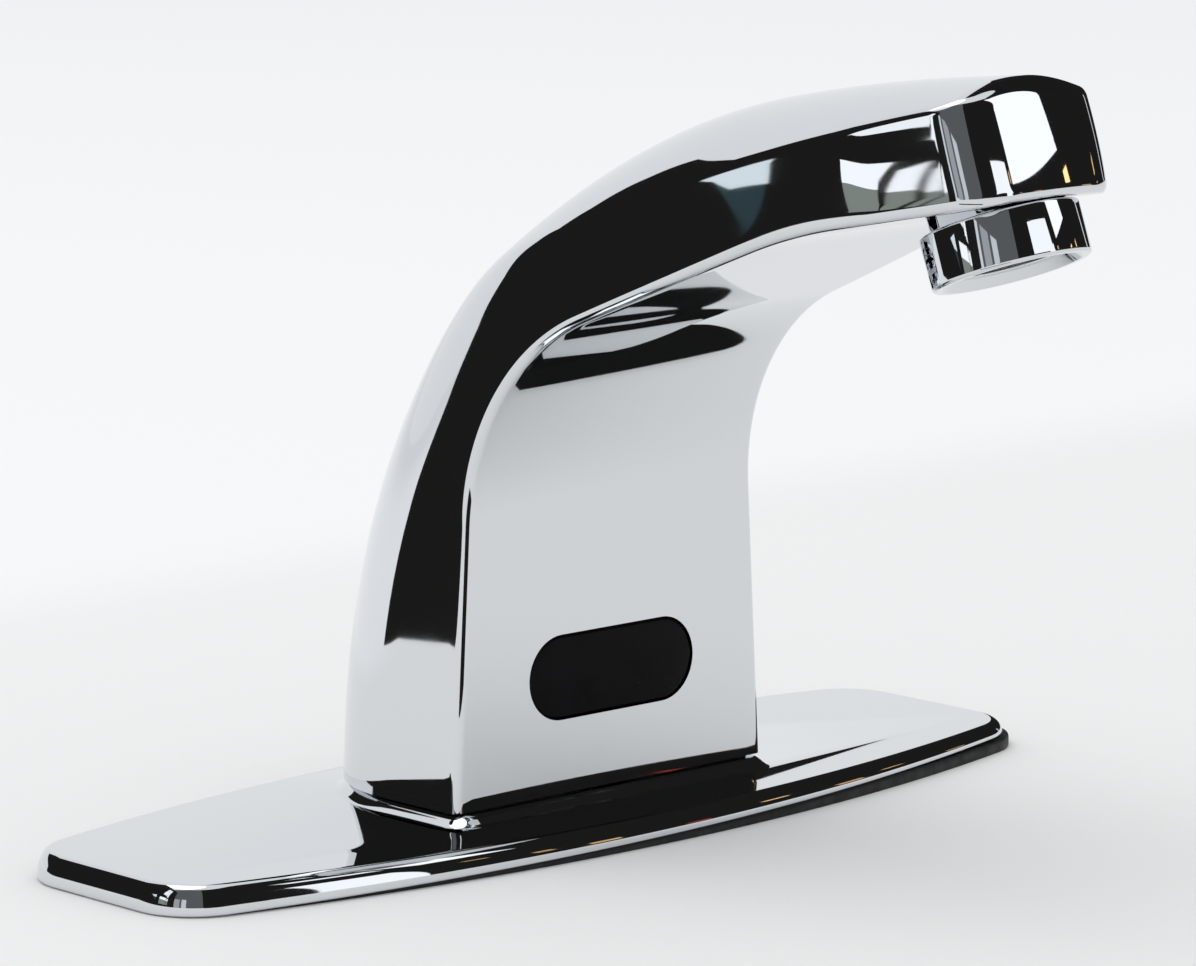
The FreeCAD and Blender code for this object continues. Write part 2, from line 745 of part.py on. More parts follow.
def sensor_housing():
    """Plastic tray behind the lens, with an ear and a screw hole at each end."""
    outer = box("HousingOuter", "Sizes.housing_length", "Sizes.housing_depth", "Sizes.housing_height",
                ("-Sizes.housing_length / 2", FLANGE_BACK, "Sizes.window_level - Sizes.housing_height / 2"))
    hollow = box("HousingHollow", "Sizes.housing_length - 2 * Sizes.housing_wall",
                 "Sizes.housing_depth - Sizes.housing_wall + Sizes.tool_overrun",
                 "Sizes.housing_height - 2 * Sizes.housing_wall",
                 ("Sizes.housing_wall - Sizes.housing_length / 2", f"{FLANGE_BACK} - Sizes.tool_overrun",
                  "Sizes.window_level - Sizes.housing_height / 2 + Sizes.housing_wall"))
    ears = mirrored_pair(lambda side, sign: box(
        "Ear" + side, "Sizes.ear_reach + Sizes.housing_wall", "Sizes.ear_thickness", "Sizes.ear_height",
        ("-Sizes.housing_length / 2 - Sizes.ear_reach" if sign else "Sizes.housing_length / 2 - Sizes.housing_wall",
         f"{FLANGE_BACK} + Sizes.housing_depth - Sizes.ear_thickness",
         "Sizes.window_level - Sizes.ear_height / 2")))
    holes = mirrored_pair(lambda side, sign: cylinder(
        "EarClearance" + side, "Sizes.ear_screw_diameter / 2 + 2 * Sizes.screw_clearance",
        "Sizes.ear_thickness + 2 * Sizes.tool_overrun",
        (f"{sign}Sizes.ear_screw_spacing / 2",
         f"{FLANGE_BACK} + Sizes.housing_depth - Sizes.ear_thickness - Sizes.tool_overrun",
         "Sizes.window_level"), "y"))
    tray = fuse("HousingTray", [outer] + ears)
    return keep(cut("SensorHousing", tray, [hollow] + holes), "sensor_housing")


BOARD_BACK = f"({FLANGE_BACK} + Sizes.housing_depth - Sizes.housing_wall)"
BOARD_FRONT = f"({BOARD_BACK} - Sizes.board_thickness)"


def sensor_board():
    """Circuit board on the tray's floor."""
    board = box("SensorBoard", "Sizes.housing_length - 2 * Sizes.housing_wall - 2 * Sizes.board_margin",
                "Sizes.board_thickness",
                "Sizes.housing_height - 2 * Sizes.housing_wall - 2 * Sizes.board_margin",
                ("Sizes.housing_wall + Sizes.board_margin - Sizes.housing_length / 2", BOARD_FRONT,
                 "Sizes.window_level - Sizes.housing_height / 2 + Sizes.housing_wall + Sizes.board_margin"))
    return keep(board, "sensor_board")


def infrared_eye(label, name, sign):
    """One of the two infrared eyes: a short barrel on the board that faces the lens."""
    eye = cylinder(name, "Sizes.eye_diameter / 2", "Sizes.eye_length",
                   (f"{sign}Sizes.eye_spacing / 2", f"{BOARD_FRONT} - Sizes.eye_length",
                    "Sizes.window_level"), "y")
    return keep(eye, label)


def ear_screws():
    """Two pan-head screws that hold the tray's ears on the body's bosses."""
    def screw(side, sign):
        head_seat = f"({FLANGE_BACK} + Sizes.housing_depth)"
        across = f"{sign}Sizes.ear_screw_spacing / 2"
        shank = cylinder("EarShank" + side, "Sizes.ear_screw_diameter / 2", "Sizes.ear_screw_length",
                         (across, f"{head_seat} - Sizes.ear_screw_length", "Sizes.window_level"), "y")
        head = cylinder("EarHead" + side, "Sizes.ear_screw_head / 2", "Sizes.ear_screw_head_height",
                        (across, head_seat, "Sizes.window_level"), "y")
        return fuse("EarScrew" + side, [shank, head])
    return keep(group("EarScrews", mirrored_pair(screw)), "sensor_screws")


# Brass base, its fixings and the water supply.

def base_insert():
    """Brass plate that closes the column's foot, with the inlet, fixing and cable holes."""
    inset = size("wall") + size("base_clearance") + size("side_draft") * size("base_thickness")
    plate = solid_feature("BasePlate", slab(column_outline(-inset, -inset, column_foot), size("base_thickness")))
    low = f"{FOOT} - Sizes.tool_overrun"
    deep = "Sizes.base_thickness + 2 * Sizes.tool_overrun"
    inlet = cylinder("BaseInlet", "Sizes.connector_diameter / 2", deep, ("0", "0", low))
    cable = cylinder("BaseCable", "Sizes.grommet_hole / 2", deep, ("0", "Sizes.grommet_back", low))
    studs = mirrored_pair(lambda side, sign: cylinder(
        "StudHole" + side, "Sizes.stud_hole_diameter / 2", deep, (f"{sign}Sizes.stud_spacing / 2", "0", low)))
    screws = mirrored_pair(lambda side, sign: cylinder(
        "BaseClearance" + side, "Sizes.base_screw_diameter / 2 + 2 * Sizes.screw_clearance", deep,
        (f"{sign}Sizes.base_screw_spacing / 2", "Sizes.base_screw_back", low)))
    sinks = mirrored_pair(base_countersink)
    return keep(cut("BaseInsert", plate, [inlet, cable] + studs + screws + sinks), "base_insert")


def base_cone(name, sign, spare):
    """Cone of a countersunk head, narrow end up, with its wide end at the foot of the column."""
    cone = doc.addObject("Part::Cone", name)
    cone.setExpression("Radius1", f"Sizes.base_screw_head / 2 + {spare}")
    cone.setExpression("Radius2", f"Sizes.base_screw_diameter / 2 + {spare}")
    cone.setExpression("Height", "(Sizes.base_screw_head - Sizes.base_screw_diameter) / 2")
    cone.setExpression("Placement.Base.x", f"{sign}Sizes.base_screw_spacing / 2")
    cone.setExpression("Placement.Base.y", "Sizes.base_screw_back")
    cone.setExpression("Placement.Base.z", FOOT)
    return cone


def base_countersink(side, sign):
    """Seat of a countersunk head in the brass base."""
    return base_cone("BaseSink" + side, sign, "2 * Sizes.screw_clearance")


def base_screws():
    """Two countersunk screws that draw the brass base against the body's bosses."""
    def screw(side, sign):
        head = base_cone("BaseHead" + side, sign, "0")
        shank = cylinder("BaseShank" + side, "Sizes.base_screw_diameter / 2",
                         "Sizes.base_screw_length",
                         (f"{sign}Sizes.base_screw_spacing / 2", "Sizes.base_screw_back", FOOT))
        return fuse("BaseScrew" + side, [head, shank])
    return keep(group("BaseScrews", mirrored_pair(screw)), "base_screws")


def inlet_connector():
    """Brass socket through the base: threaded for the supply hose below, holding the tube above."""
    flange = f"({FOOT} - Sizes.connector_flange_thickness)"
    tube = "Sizes.tube_outer / 2 + Sizes.tube_clearance"
    seat = "Sizes.inlet_depth + Sizes.inlet_ledge"
    ring = "Sizes.tube_outer / 2 + Sizes.ring_section"
    low = "Sizes.ring_level - Sizes.ring_section / 2"
    high = "Sizes.ring_level + Sizes.ring_section / 2"
    wide = "Sizes.connector_diameter / 2"
    outline = [
        ("Sizes.inlet_diameter / 2", "0"), (wide, "0"), (wide, flange), ("Sizes.connector_flange / 2", flange),
        ("Sizes.connector_flange / 2", FOOT), (wide, FOOT), (wide, "Sizes.connector_height"),
        (tube, "Sizes.connector_height"), (tube, high), (ring, high), (ring, low), (tube, low),
        (tube, seat), ("Sizes.tube_inner / 2", seat), ("Sizes.tube_inner / 2", "Sizes.inlet_depth"),
        ("Sizes.inlet_diameter / 2", "Sizes.inlet_depth"),
    ]
    return keep(turned("InletConnector", outline), "inlet_connector")


def inlet_ring():
    """Rubber ring in the connector's groove, round the foot of the tube."""
    inner = "Sizes.tube_outer / 2 + Sizes.tube_clearance"
    outer = "Sizes.tube_outer / 2 + Sizes.ring_section - Sizes.tube_clearance"
    low = "Sizes.ring_level - Sizes.ring_section / 2 + Sizes.tube_clearance"
    high = "Sizes.ring_level + Sizes.ring_section / 2 - Sizes.tube_clearance"
    return keep(turned("InletRing", [(inner, low), (outer, low), (outer, high), (inner, high)]), "inlet_ring")


def supply_tube():
    """Tube from the connector up to the socket in the body."""
    foot = "Sizes.inlet_depth + Sizes.inlet_ledge"
    top = f"{CHAMBER_TOP} + Sizes.tube_socket"
    outline = [("Sizes.tube_inner / 2", foot), ("Sizes.tube_outer / 2", foot),
               ("Sizes.tube_outer / 2", top), ("Sizes.tube_inner / 2", top)]
    return keep(turned("SupplyTube", outline), "supply_tube")


def tube_collar():
    """Rubber collar that seals the tube against the roof of the chamber."""
    inner = "Sizes.tube_outer / 2 + Sizes.tube_clearance"
    outer = "Sizes.tube_outer / 2 + Sizes.collar_wall"
    low = f"{CHAMBER_TOP} - Sizes.collar_height"
    outline = [(inner, low), (outer, low), (outer, CHAMBER_TOP), (inner, CHAMBER_TOP)]
    return keep(turned("TubeCollar", outline), "tube_collar")


def cable_grommet():
    """Rubber grommet in the base, with a lip on each side and a hole for the sensor's lead."""
    hole = "Sizes.cable_hole / 2"
    waist = "Sizes.grommet_hole / 2"
    lip = "Sizes.grommet_hole / 2 + Sizes.grommet_rim"
    outline = [(hole, f"{FOOT} - Sizes.grommet_lip"), (lip, f"{FOOT} - Sizes.grommet_lip"), (lip, FOOT),
               (waist, FOOT), (waist, BASE_TOP), (lip, BASE_TOP), (lip, f"{BASE_TOP} + Sizes.grommet_lip"),
               (hole, f"{BASE_TOP} + Sizes.grommet_lip")]
    place = Placement(Vector(0, size("grommet_back"), 0), Rotation())
    return keep(turned("CableGrommet", outline, place), "cable_grommet")


# Outlet: everything about the tilted axis, drawn with the seat at level 0 and the mouth below it.

THREAD = "(Sizes.thread_diameter / 2 - Sizes.thread_clearance)"
LIP_TOP = "(Sizes.aerator_mouth_depth + Sizes.aerator_lip_height - Sizes.aerator_height)"
CARTRIDGE = "(Sizes.aerator_bore / 2 - Sizes.cartridge_clearance)"
CARTRIDGE_LOW = f"({LIP_TOP} + Sizes.stack_gap)"
CARTRIDGE_TOP = f"({CARTRIDGE_LOW} + Sizes.cartridge_height)"


def aerator_housing():
    """Chromed ring with an outside thread, which holds the cartridge on its inner lip."""
    mouth = "Sizes.aerator_mouth / 2"
    wide = "Sizes.aerator_diameter / 2"
    bore = "Sizes.aerator_bore / 2"
    low = "-Sizes.aerator_height"
    ledge = "Sizes.aerator_mouth_depth - Sizes.aerator_height"
    outline = [(mouth, low), (wide, low), (wide, "-Sizes.aerator_gap"), (THREAD, "-Sizes.aerator_gap"),
               (THREAD, "Sizes.aerator_thread"), (bore, "Sizes.aerator_thread"), (bore, LIP_TOP),
               ("Sizes.aerator_lip / 2", LIP_TOP), ("Sizes.aerator_lip / 2", ledge), (mouth, ledge)]
    return keep(turned("AeratorHousing", outline, outlet_place()), "aerator_housing")


def ring_of_holes(diameter, radius, holes, low, high):
    """Small round tools on a circle about the local Z axis, through what lies between two levels."""
    tools = []
    count = int(holes)
    low -= overrun
    high += overrun
    for step in range(count):
        angle = 2 * math.pi * step / count
        spot = Vector(radius * math.cos(angle), radius * math.sin(angle), low)
        tools.append(Part.makeCylinder(diameter / 2, high - low, spot))
    return tools


def number(formula):
    """Number that a formula gives now."""
    return float(sheet.evalExpression(formula))


def aerator_cartridge():
    """Plastic cartridge with two rings of holes that break the water up."""
    low = number(CARTRIDGE_LOW)
    high = number(CARTRIDGE_TOP)
    block = disc(2 * number(CARTRIDGE), low, high)
    hole = size("cartridge_hole")
    tools = ring_of_holes(hole, size("cartridge_inner_ring"), size("cartridge_inner_holes"), low, high)
    tools += ring_of_holes(hole, size("cartridge_outer_ring"), size("cartridge_outer_holes"), low, high)
    tools.append(disc(hole, low - overrun, high + overrun))
    return keep(solid_feature("Cartridge", in_outlet(block.cut(tools))), "aerator_cartridge")


def aerator_screens():
    """Two thin steel screens on top of the cartridge."""
    def screen(name, low):
        high = f"{low} + Sizes.screen_thickness"
        outline = [("0", low), (CARTRIDGE, low), (CARTRIDGE, high), ("0", high)]
        return turned(name, outline, outlet_place())
    upper = f"({CARTRIDGE_TOP} + Sizes.screen_thickness)"
    return keep(group("Screens", [screen("ScreenLower", CARTRIDGE_TOP), screen("ScreenUpper", upper)]),
                "aerator_screens")


def flow_regulator():
    """Plastic disc with a ring of small holes, on top of the screens."""
    low = number(CARTRIDGE_TOP) + 2 * size("screen_thickness")
    high = low + size("regulator_thickness")
    block = disc(2 * number(CARTRIDGE), low, high)
    tools = ring_of_holes(size("regulator_hole"), size("regulator_ring"), size("regulator_holes"), low, high)
    return keep(solid_feature("Regulator", in_outlet(block.cut(tools))), "flow_regulator")


def aerator_washer():
    """Rubber washer between the housing's thread end and the step in the outlet."""
    low = size("aerator_thread") + size("stack_gap")
    high = low + size("washer_thickness")
    ring = disc(size("washer_outer"), low, high).cut(disc(size("washer_inner"), low - overrun, high + overrun))
    return keep(solid_feature("Washer", in_outlet(ring)), "aerator_washer")


deck_gasket()
deck_plate()
base_seal()
tap_body()
sensor_window()
window_seal()
sensor_housing()
sensor_board()
infrared_eye("infrared_emitter", "EmitterEye", "-")
infrared_eye("infrared_receiver", "ReceiverEye", "")
ear_screws()
base_insert()
base_screws()
inlet_connector()
inlet_ring()
supply_tube()
tube_collar()
cable_grommet()
aerator_housing()
aerator_cartridge()
aerator_screens()
flow_regulator()
aerator_washer()

check_document()
for node in nodes:
    node.Shape.exportStep(f"parts/{node.Label}.step")
    print(f"{node.Label}: {node.Shape.Volume:.1f} mm3, {len(node.Shape.Solids)} solid(s)")
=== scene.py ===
import math

import bmesh
import bpy
import numpy as np
from mathutils import Matrix, Vector


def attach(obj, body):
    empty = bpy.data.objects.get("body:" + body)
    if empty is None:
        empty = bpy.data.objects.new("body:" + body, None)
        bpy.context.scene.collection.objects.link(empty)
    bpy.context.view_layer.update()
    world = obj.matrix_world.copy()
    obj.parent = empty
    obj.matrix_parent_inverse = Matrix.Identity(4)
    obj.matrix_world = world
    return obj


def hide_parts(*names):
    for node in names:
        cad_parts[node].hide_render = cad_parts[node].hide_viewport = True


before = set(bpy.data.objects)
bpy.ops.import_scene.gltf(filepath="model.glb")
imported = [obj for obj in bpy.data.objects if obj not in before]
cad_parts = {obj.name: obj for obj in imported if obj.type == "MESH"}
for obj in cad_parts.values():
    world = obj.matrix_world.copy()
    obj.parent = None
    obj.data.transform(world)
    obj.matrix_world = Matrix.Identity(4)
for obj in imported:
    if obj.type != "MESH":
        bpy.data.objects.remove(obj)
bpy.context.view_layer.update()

# Sizes are in millimetres, as in the part, and meshes are scaled to metres at the end.
MM = 0.001

# Degrees up to which faces shade smoothly, as built and after the cuts.
SMOOTH_ANGLE, CUT_SMOOTH_ANGLE = 35.0, 30.0

# Column and spout.
FOOT = 6.0
FRONT = -14.2
DEPTH = 37.6
HALF_WIDTH = 29.1
DRAFT = 0.055
EDGE = 1.4
BACK_CORNER, TOP_CORNER = 22.0, 1.5
BACK_CROWN, TOP_CROWN = 60.0, 31.0
STRAIGHT = 38.9
NOSE_HALF = 12.2
NOSE_REACH = 99.5
NOSE_CORNER = 6.5
NOSE_TOP_EDGE, NOSE_LOW_EDGE = 2.4, 1.0
NOSE_LEAN = 71.0
NOSE_CROWN_ACROSS, NOSE_CROWN_UP = 36.0, 120.0
NOSE_CROWN_LIMIT, NOSE_CROWN_FADE = 110.0, 30.0
FLANK_CROWN, FLANK_HALF_HEIGHT = 0.6, 7.0
FLANK_FADE_START, FLANK_FADE = 55.0, 35.0
WALL = 2.5
CHAMBER = 34.4
FAR_FROM_NOSE = 99.0

# Outlet.
SEAT = (-86.0, 91.1)
TILT = math.radians(21.0)
CHIN = 11.6

# Plate.
END, SIDE, MIDDLE, CORNER = 79.5, 16.7, 27.8, 10.0
PLATE_TOP, BOSS_TOP = 4.2, 5.7
RIM_LOW, RIM_SLOPE = 0.12, 0.0137
ROLL, RIM_ROUND = 1.8, 0.35
PLATE_HOLE, PLATE_HOLE_Y = 17.5, 3.0

# Window.
LENS_LEVEL, LENS_LENGTH, LENS_HEIGHT = 22.2, 30.6, 11.7
LENS_RECESS, LENS_THICKNESS, LENS_FLANGE = 0.2, 2.8, 1.1

# Studio, in metres and plain colour values.
TABLE_BACK, TABLE_BLEND = 0.17, 0.03
TABLE_FRONT_COLOUR, TABLE_BACK_COLOUR = (0.87, 0.867, 0.858), (0.93, 0.93, 0.932)
SKY = (0.86, 0.875, 0.89)
ROOM, DIM_ROOM = (0.0135, 0.0133, 0.0125), (0.12, 0.125, 0.13)
WHITE, STREET, WARM = (0.95, 0.97, 1.0), (0.60, 0.66, 0.60), (1.0, 0.62, 0.28)


# Mesh helpers.

def mesh_object(name, verts, faces):
    """Object from vertices in millimetres."""
    mesh = bpy.data.meshes.new(name)
    mesh.from_pydata([tuple(float(c) * MM for c in v) for v in verts], [], faces)
    mesh.validate()
    item = bpy.data.objects.new(name, mesh)
    bpy.context.scene.collection.objects.link(item)
    finish_mesh(item, SMOOTH_ANGLE)
    return item


def finish_mesh(item, smooth_angle):
    """Consistent outward normals and smooth shading up to an angle."""
    work = bmesh.new()
    work.from_mesh(item.data)
    bmesh.ops.recalc_face_normals(work, faces=work.faces)
    work.to_mesh(item.data)
    work.free()
    item.data.shade_smooth()
    item.data.set_sharp_from_angle(angle=math.radians(smooth_angle))


def ring_faces(rings, count):
    """Quads between successive rings of equally many points, with a face at each end."""
    faces = []
    for k in range(rings - 1):
        for i in range(count):
            j = (i + 1) % count
            faces.append((k * count + i, k * count + j, (k + 1) * count + j, (k + 1) * count + i))
    faces.append(tuple(range(count))[::-1])
    faces.append(tuple((rings - 1) * count + i for i in range(count)))
    return faces


def boolean(item, tool, operation):
    """Apply a union or difference and remove the tool."""
    step = item.modifiers.new("step", "BOOLEAN")
    step.operation = operation
    step.object = tool
    step.solver = "EXACT"
    bpy.context.view_layer.update()
    graph = bpy.context.evaluated_depsgraph_get()
    done = bpy.data.meshes.new_from_object(item.evaluated_get(graph))
    item.modifiers.clear()
    item.data = done
    bpy.data.objects.remove(tool)


def lathe(name, profile, place, segments=128):
    """Closed profile of (radius, level) corners turned about a local Z axis."""
    verts = []
    for radius, level in profile:
        for i in range(segments):
            turn = 2 * math.pi * i / segments
            verts.append(place @ Vector((radius * math.cos(turn), radius * math.sin(turn), level)))
    count = len(profile)
    faces = []
    for k in range(count):
        n = (k + 1) % count
        for i in range(segments):
            j = (i + 1) % segments
            faces.append((k * segments + i, k * segments + j, n * segments + j, n * segments + i))
    return mesh_object(name, verts, faces)


def rounded(corners, radii, steps=6):
    """Polygon of (a, b) corners with each corner rounded by its radius."""
    points = []
    count = len(corners)
    for k, (corner, radius) in enumerate(zip(corners, radii)):
        here = Vector(corner)
        before = (Vector(corners[k - 1]) - here).normalized()
        after = (Vector(corners[(k + 1) % count]) - here).normalized()
        if radius <= 0:
            points.append(tuple(here))
            continue
        half = before.angle(after) / 2
        centre = here + (before + after).normalized() * (radius / math.sin(half))
        start = here + before * (radius / math.tan(half)) - centre
        end = here + after * (radius / math.tan(half)) - centre
        swing = start.angle_signed(end)
        for s in range(steps + 1):
            turn = -swing * s / steps
            points.append(tuple(centre + Matrix.Rotation(turn, 2) @ start))
    return points


# Column and spout.

class Path:
    """Side profile of straights and arcs that leans over towards -Y."""

    def __init__(self, y, z, moves):
        self.parts = []
        heading = 0.0
        length = 0.0
        for radius, amount in moves:
            self.parts.append((length, y, z, heading, radius))
            run = amount if radius is None else radius * amount
            y, z = self.spot(self.parts[-1], run)
            heading += 0.0 if radius is None else amount
            length += run
        self.length = length

    @staticmethod
    def spot(part, run):
        _, y, z, heading, radius = part
        if radius is None:
            return y - math.sin(heading) * run, z + math.cos(heading) * run
        swept = heading + run / radius
        return (y + (math.cos(swept) - math.cos(heading)) * radius,
                z + (math.sin(swept) - math.sin(heading)) * radius)

    def at(self, run):
        part = [p for p in self.parts if p[0] <= run + 1e-9][-1]
        return self.spot(part, run - part[0])


def front_path():
    turns = [math.radians(66.8), math.radians(11.0)]
    moves = [(None, STRAIGHT), (32.0, turns[0]), (None, 29.0), (70.0, turns[1])]
    part = Path(FRONT, FOOT, moves)
    rest = (NOSE_REACH + part.at(part.length)[0]) / math.sin(sum(turns))
    return Path(FRONT, FOOT, moves + [(None, rest)])


front = front_path()
back = Path(FRONT + DEPTH, FOOT - 0.1,
            [(None, 6.6), (93.8, math.radians(78.5)), (300.0, math.radians(5.5)), (None, 97.0)])

# Share of the front profile, lean of the section in degrees, closing of the back corners.
STATIONS = np.array([
    (0.0, 0.0, 0.0), (0.10, 0.0, 0.0), (0.20, 1.5, 0.02), (0.27, 7.0, 0.06), (0.33, 18.0, 0.14),
    (0.385, 33.0, 0.30), (0.44, 48.0, 0.54), (0.50, 61.0, 0.80), (0.56, 70.0, 0.94), (0.62, 75.2, 0.99),
    (0.68, 77.0, 1.0), (0.74, 76.0, 1.0), (0.80, 73.4, 1.0), (0.85, 71.4, 1.0), (0.88, 71.0, 1.0),
    (1.0, 71.0, 1.0)])


def hermite(column, x):
    """Monotone cubic through one column of the stations."""
    xs, ys = STATIONS[:, 0], STATIONS[:, column]
    h = np.diff(xs)
    d = np.diff(ys) / h
    m = np.zeros(len(xs))
    for k in range(1, len(xs) - 1):
        if d[k - 1] * d[k] > 0:
            w1, w2 = 2 * h[k] + h[k - 1], h[k] + 2 * h[k - 1]
            m[k] = (w1 + w2) / (w1 / d[k - 1] + w2 / d[k])
    k = int(np.clip(np.searchsorted(xs, x) - 1, 0, len(h) - 1))
    t = (x - xs[k]) / h[k]
    return ((1 + 2 * t) * (1 - t) ** 2 * ys[k] + t * (1 - t) ** 2 * h[k] * m[k]
            + t * t * (3 - 2 * t) * ys[k + 1] + t * t * (t - 1) * h[k] * m[k + 1])


def low_point(share):
    """Point on the front face or the underside, which runs along the outlet's seat near the nose."""
    y, z = front.at(share * front.length)
    if y > SEAT[0] / 2:
        return y, z
    return y, max(z, SEAT[1] - (y - SEAT[0]) * math.tan(TILT))


def high_point(y, z, lean):
    """Where the section's plane meets the back and crest."""
    low, high = 0.0, back.length
    for _ in range(40):
        middle = (low + high) / 2
        by, bz = back.at(middle)
        if -(by - y) * math.sin(lean) + (bz - z) * math.cos(lean) < 0:
            low = middle
        else:
            high = middle
    return back.at(low)


chin = (SEAT[0] - CHIN * math.cos(TILT), SEAT[1] + CHIN * math.sin(TILT))
nose_lean = math.radians(NOSE_LEAN)
SHOULDER = STRAIGHT / front.length
NARROWING = HALF_WIDTH - NOSE_HALF - DRAFT * front.length
NOSE_SLOPE = DRAFT + 3 * NARROWING / (front.length - STRAIGHT)
SPREAD = math.atan(NOSE_SLOPE)


def nose_distance(share):
    """How far a point of the underside lies behind the nose's plane."""
    y, z = low_point(share)
    return (y - chin[0]) * math.sin(nose_lean) + (chin[1] - z) * math.cos(nose_lean)


def half_width(share, distance):
    """Half width of a section: draft, narrowing, and the nose's round corners."""
    width = HALF_WIDTH - DRAFT * share * front.length
    width -= NARROWING * max(0.0, (share - SHOULDER) / (1 - SHOULDER)) ** 3
    tangent = NOSE_CORNER * math.tan((math.pi / 2 - SPREAD) / 2)
    arc = NOSE_HALF - tangent + math.sqrt(max(NOSE_CORNER ** 2 - max(NOSE_CORNER - distance, 0.0) ** 2, 0.0))
    if distance <= 2.5:
        return min(width, arc)
    if distance > tangent * math.cos(SPREAD):
        arc = max(arc, NOSE_HALF + distance * NOSE_SLOPE)
    blend = 0.15
    mix = max(blend - abs(width - arc), 0.0) / blend
    return min(width, arc) - mix * mix * blend / 4


def section(width, depth, closed, raised, dropped):
    """Closed ring of (across, along) points of one section, from the middle of its front."""
    corner = BACK_CORNER * (1 - closed) + TOP_CORNER * closed
    crown = BACK_CROWN * (1 - closed) + TOP_CROWN * closed
    crest = depth - dropped
    edge = min(EDGE, (depth - raised - dropped) / 4)
    reach = math.sqrt(max((crown - corner) ** 2 - (width - corner) ** 2, 0.0))
    corner_depth = crest - crown + reach
    slant = math.atan2(reach, width - corner)
    half = [((width - edge) * k / 16, raised) for k in range(16)]
    for k in range(9):
        turn = -math.pi / 2 + math.pi / 2 * k / 8
        half.append((width - edge + edge * math.cos(turn), raised + edge + edge * math.sin(turn)))
    start = raised + edge
    for k in range(1, 12):
        half.append((width, start + (corner_depth - start) * k / 12))
    for k in range(13):
        turn = slant * k / 12
        half.append((width - corner + corner * math.cos(turn), corner_depth + corner * math.sin(turn)))
    for k in range(1, 21):
        turn = slant + (math.pi / 2 - slant) * k / 20
        half.append((crown * math.cos(turn), crest - crown + crown * math.sin(turn)))
    half[-1] = (0.0, crest)
    return half + [(-x, y) for x, y in half[-2:0:-1]]


def edge_drop(radius, distance):
    """How far a rounded edge falls away at a distance from the face that it meets."""
    if distance >= radius:
        return 0.0
    return radius - math.sqrt(max(radius ** 2 - (radius - distance) ** 2, 0.0))


def share_at(distance):
    """Share of the front profile that lies a distance behind the nose's plane."""
    low, high = 0.8, 1.0
    for _ in range(40):
        middle = (low + high) / 2
        if nose_distance(middle) > distance:
            low = middle
        else:
            high = middle
    return low


def ease(x):
    """Smooth step from 0 to 1."""
    x = min(max(x, 0.0), 1.0)
    return x * x * (3 - 2 * x)


def body_ring(share, distance, inner=1.0):
    """Section at a share of the front profile; inner shrinks it towards its middle."""
    lean = math.radians(float(hermite(1, share)))
    closed = float(np.clip(hermite(2, share), 0.0, 1.0))
    y, z = low_point(share)
    hy, hz = high_point(y, z, lean)
    depth = math.hypot(hy - y, hz - z)
    width = half_width(share, distance)
    ring = section(width, depth, closed,
                   edge_drop(NOSE_LOW_EDGE, distance), edge_drop(NOSE_TOP_EDGE, distance))
    front_crown = ease(1 - distance / NOSE_CROWN_FADE)
    side_crown = FLANK_CROWN * ease((FLANK_FADE_START - distance) / FLANK_FADE)
    points = []
    for x, v in ring:
        x, v = x * inner, depth / 2 + (v - depth / 2) * inner
        rise = v - depth / 2
        x *= 1 - side_crown / HALF_WIDTH * (rise / FLANK_HALF_HEIGHT) ** 2
        spread = NOSE_CROWN_LIMIT * (1 - math.exp(-x * x / NOSE_CROWN_LIMIT))
        back_off = front_crown * (spread / NOSE_CROWN_ACROSS + rise * rise / NOSE_CROWN_UP) / 2
        x *= 1 + NOSE_SLOPE * back_off / width
        points.append((x, y + v * math.cos(lean) + back_off * math.sin(lean),
                       z + v * math.sin(lean) - back_off * math.cos(lean)))
    return points


def body_mesh():
    """Column, spout and nose as one closed mesh of sections."""
    rings = []
    column = np.linspace(0.0, SHOULDER, 14)[:-1]
    spout = np.linspace(SHOULDER, share_at(NOSE_CORNER), 120)[:-1]
    for share in np.concatenate([column, spout]):
        rings.append(body_ring(float(share), max(nose_distance(float(share)), NOSE_CORNER)))
    for k in range(25):
        distance = NOSE_CORNER * (1 - math.cos(math.pi / 2 * (1 - k / 24)))
        rings.append(body_ring(share_at(distance), distance))
    for k in range(1, 16):
        rings.append(body_ring(share_at(0.0), 0.0, max(1 - k / 15, 0.004)))
    count = len(rings[0])
    verts = [v for ring in rings for v in ring]
    return mesh_object("spout_and_column", verts, ring_faces(len(rings), count))


def prism(name, outline, low, high, axis="z"):
    """Plain tool from an outline, upright or along Y."""
    count = len(outline)
    verts = []
    for level in (low, high):
        for a, b in outline:
            verts.append((a, b, level) if axis == "z" else (a, level, b))
    return mesh_object(name, verts, ring_faces(2, count))


def stadium(length, height, level, steps=24):
    """Bar with round ends in the plane of the window."""
    radius = height / 2
    reach = length / 2 - radius
    points = []
    for sign, start in ((1, -math.pi / 2), (-1, math.pi / 2)):
        for k in range(steps + 1):
            turn = start + math.pi * k / steps
            points.append((sign * reach + radius * math.cos(turn), level + radius * math.sin(turn)))
    return points


outlet = Matrix.Translation((0.0, SEAT[0], SEAT[1])) @ Matrix.Rotation(-TILT, 4, "X")


def chamber_tool():
    """Space inside the column, open at the foot."""
    rings = []
    for share in np.linspace(0.0, CHAMBER / front.length, 6):
        y, z = low_point(float(share))
        hy, _ = high_point(y, z, 0.0)
        ring = section(half_width(float(share), FAR_FROM_NOSE) - WALL, hy - y - WALL, 0.0, WALL, 0.0)
        low = z - 1.0 if share == 0.0 else z
        rings.append([(x, y + v, low) for x, v in ring])
    verts = [v for ring in rings for v in ring]
    return mesh_object("chamber", verts, ring_faces(len(rings), len(rings[0])))


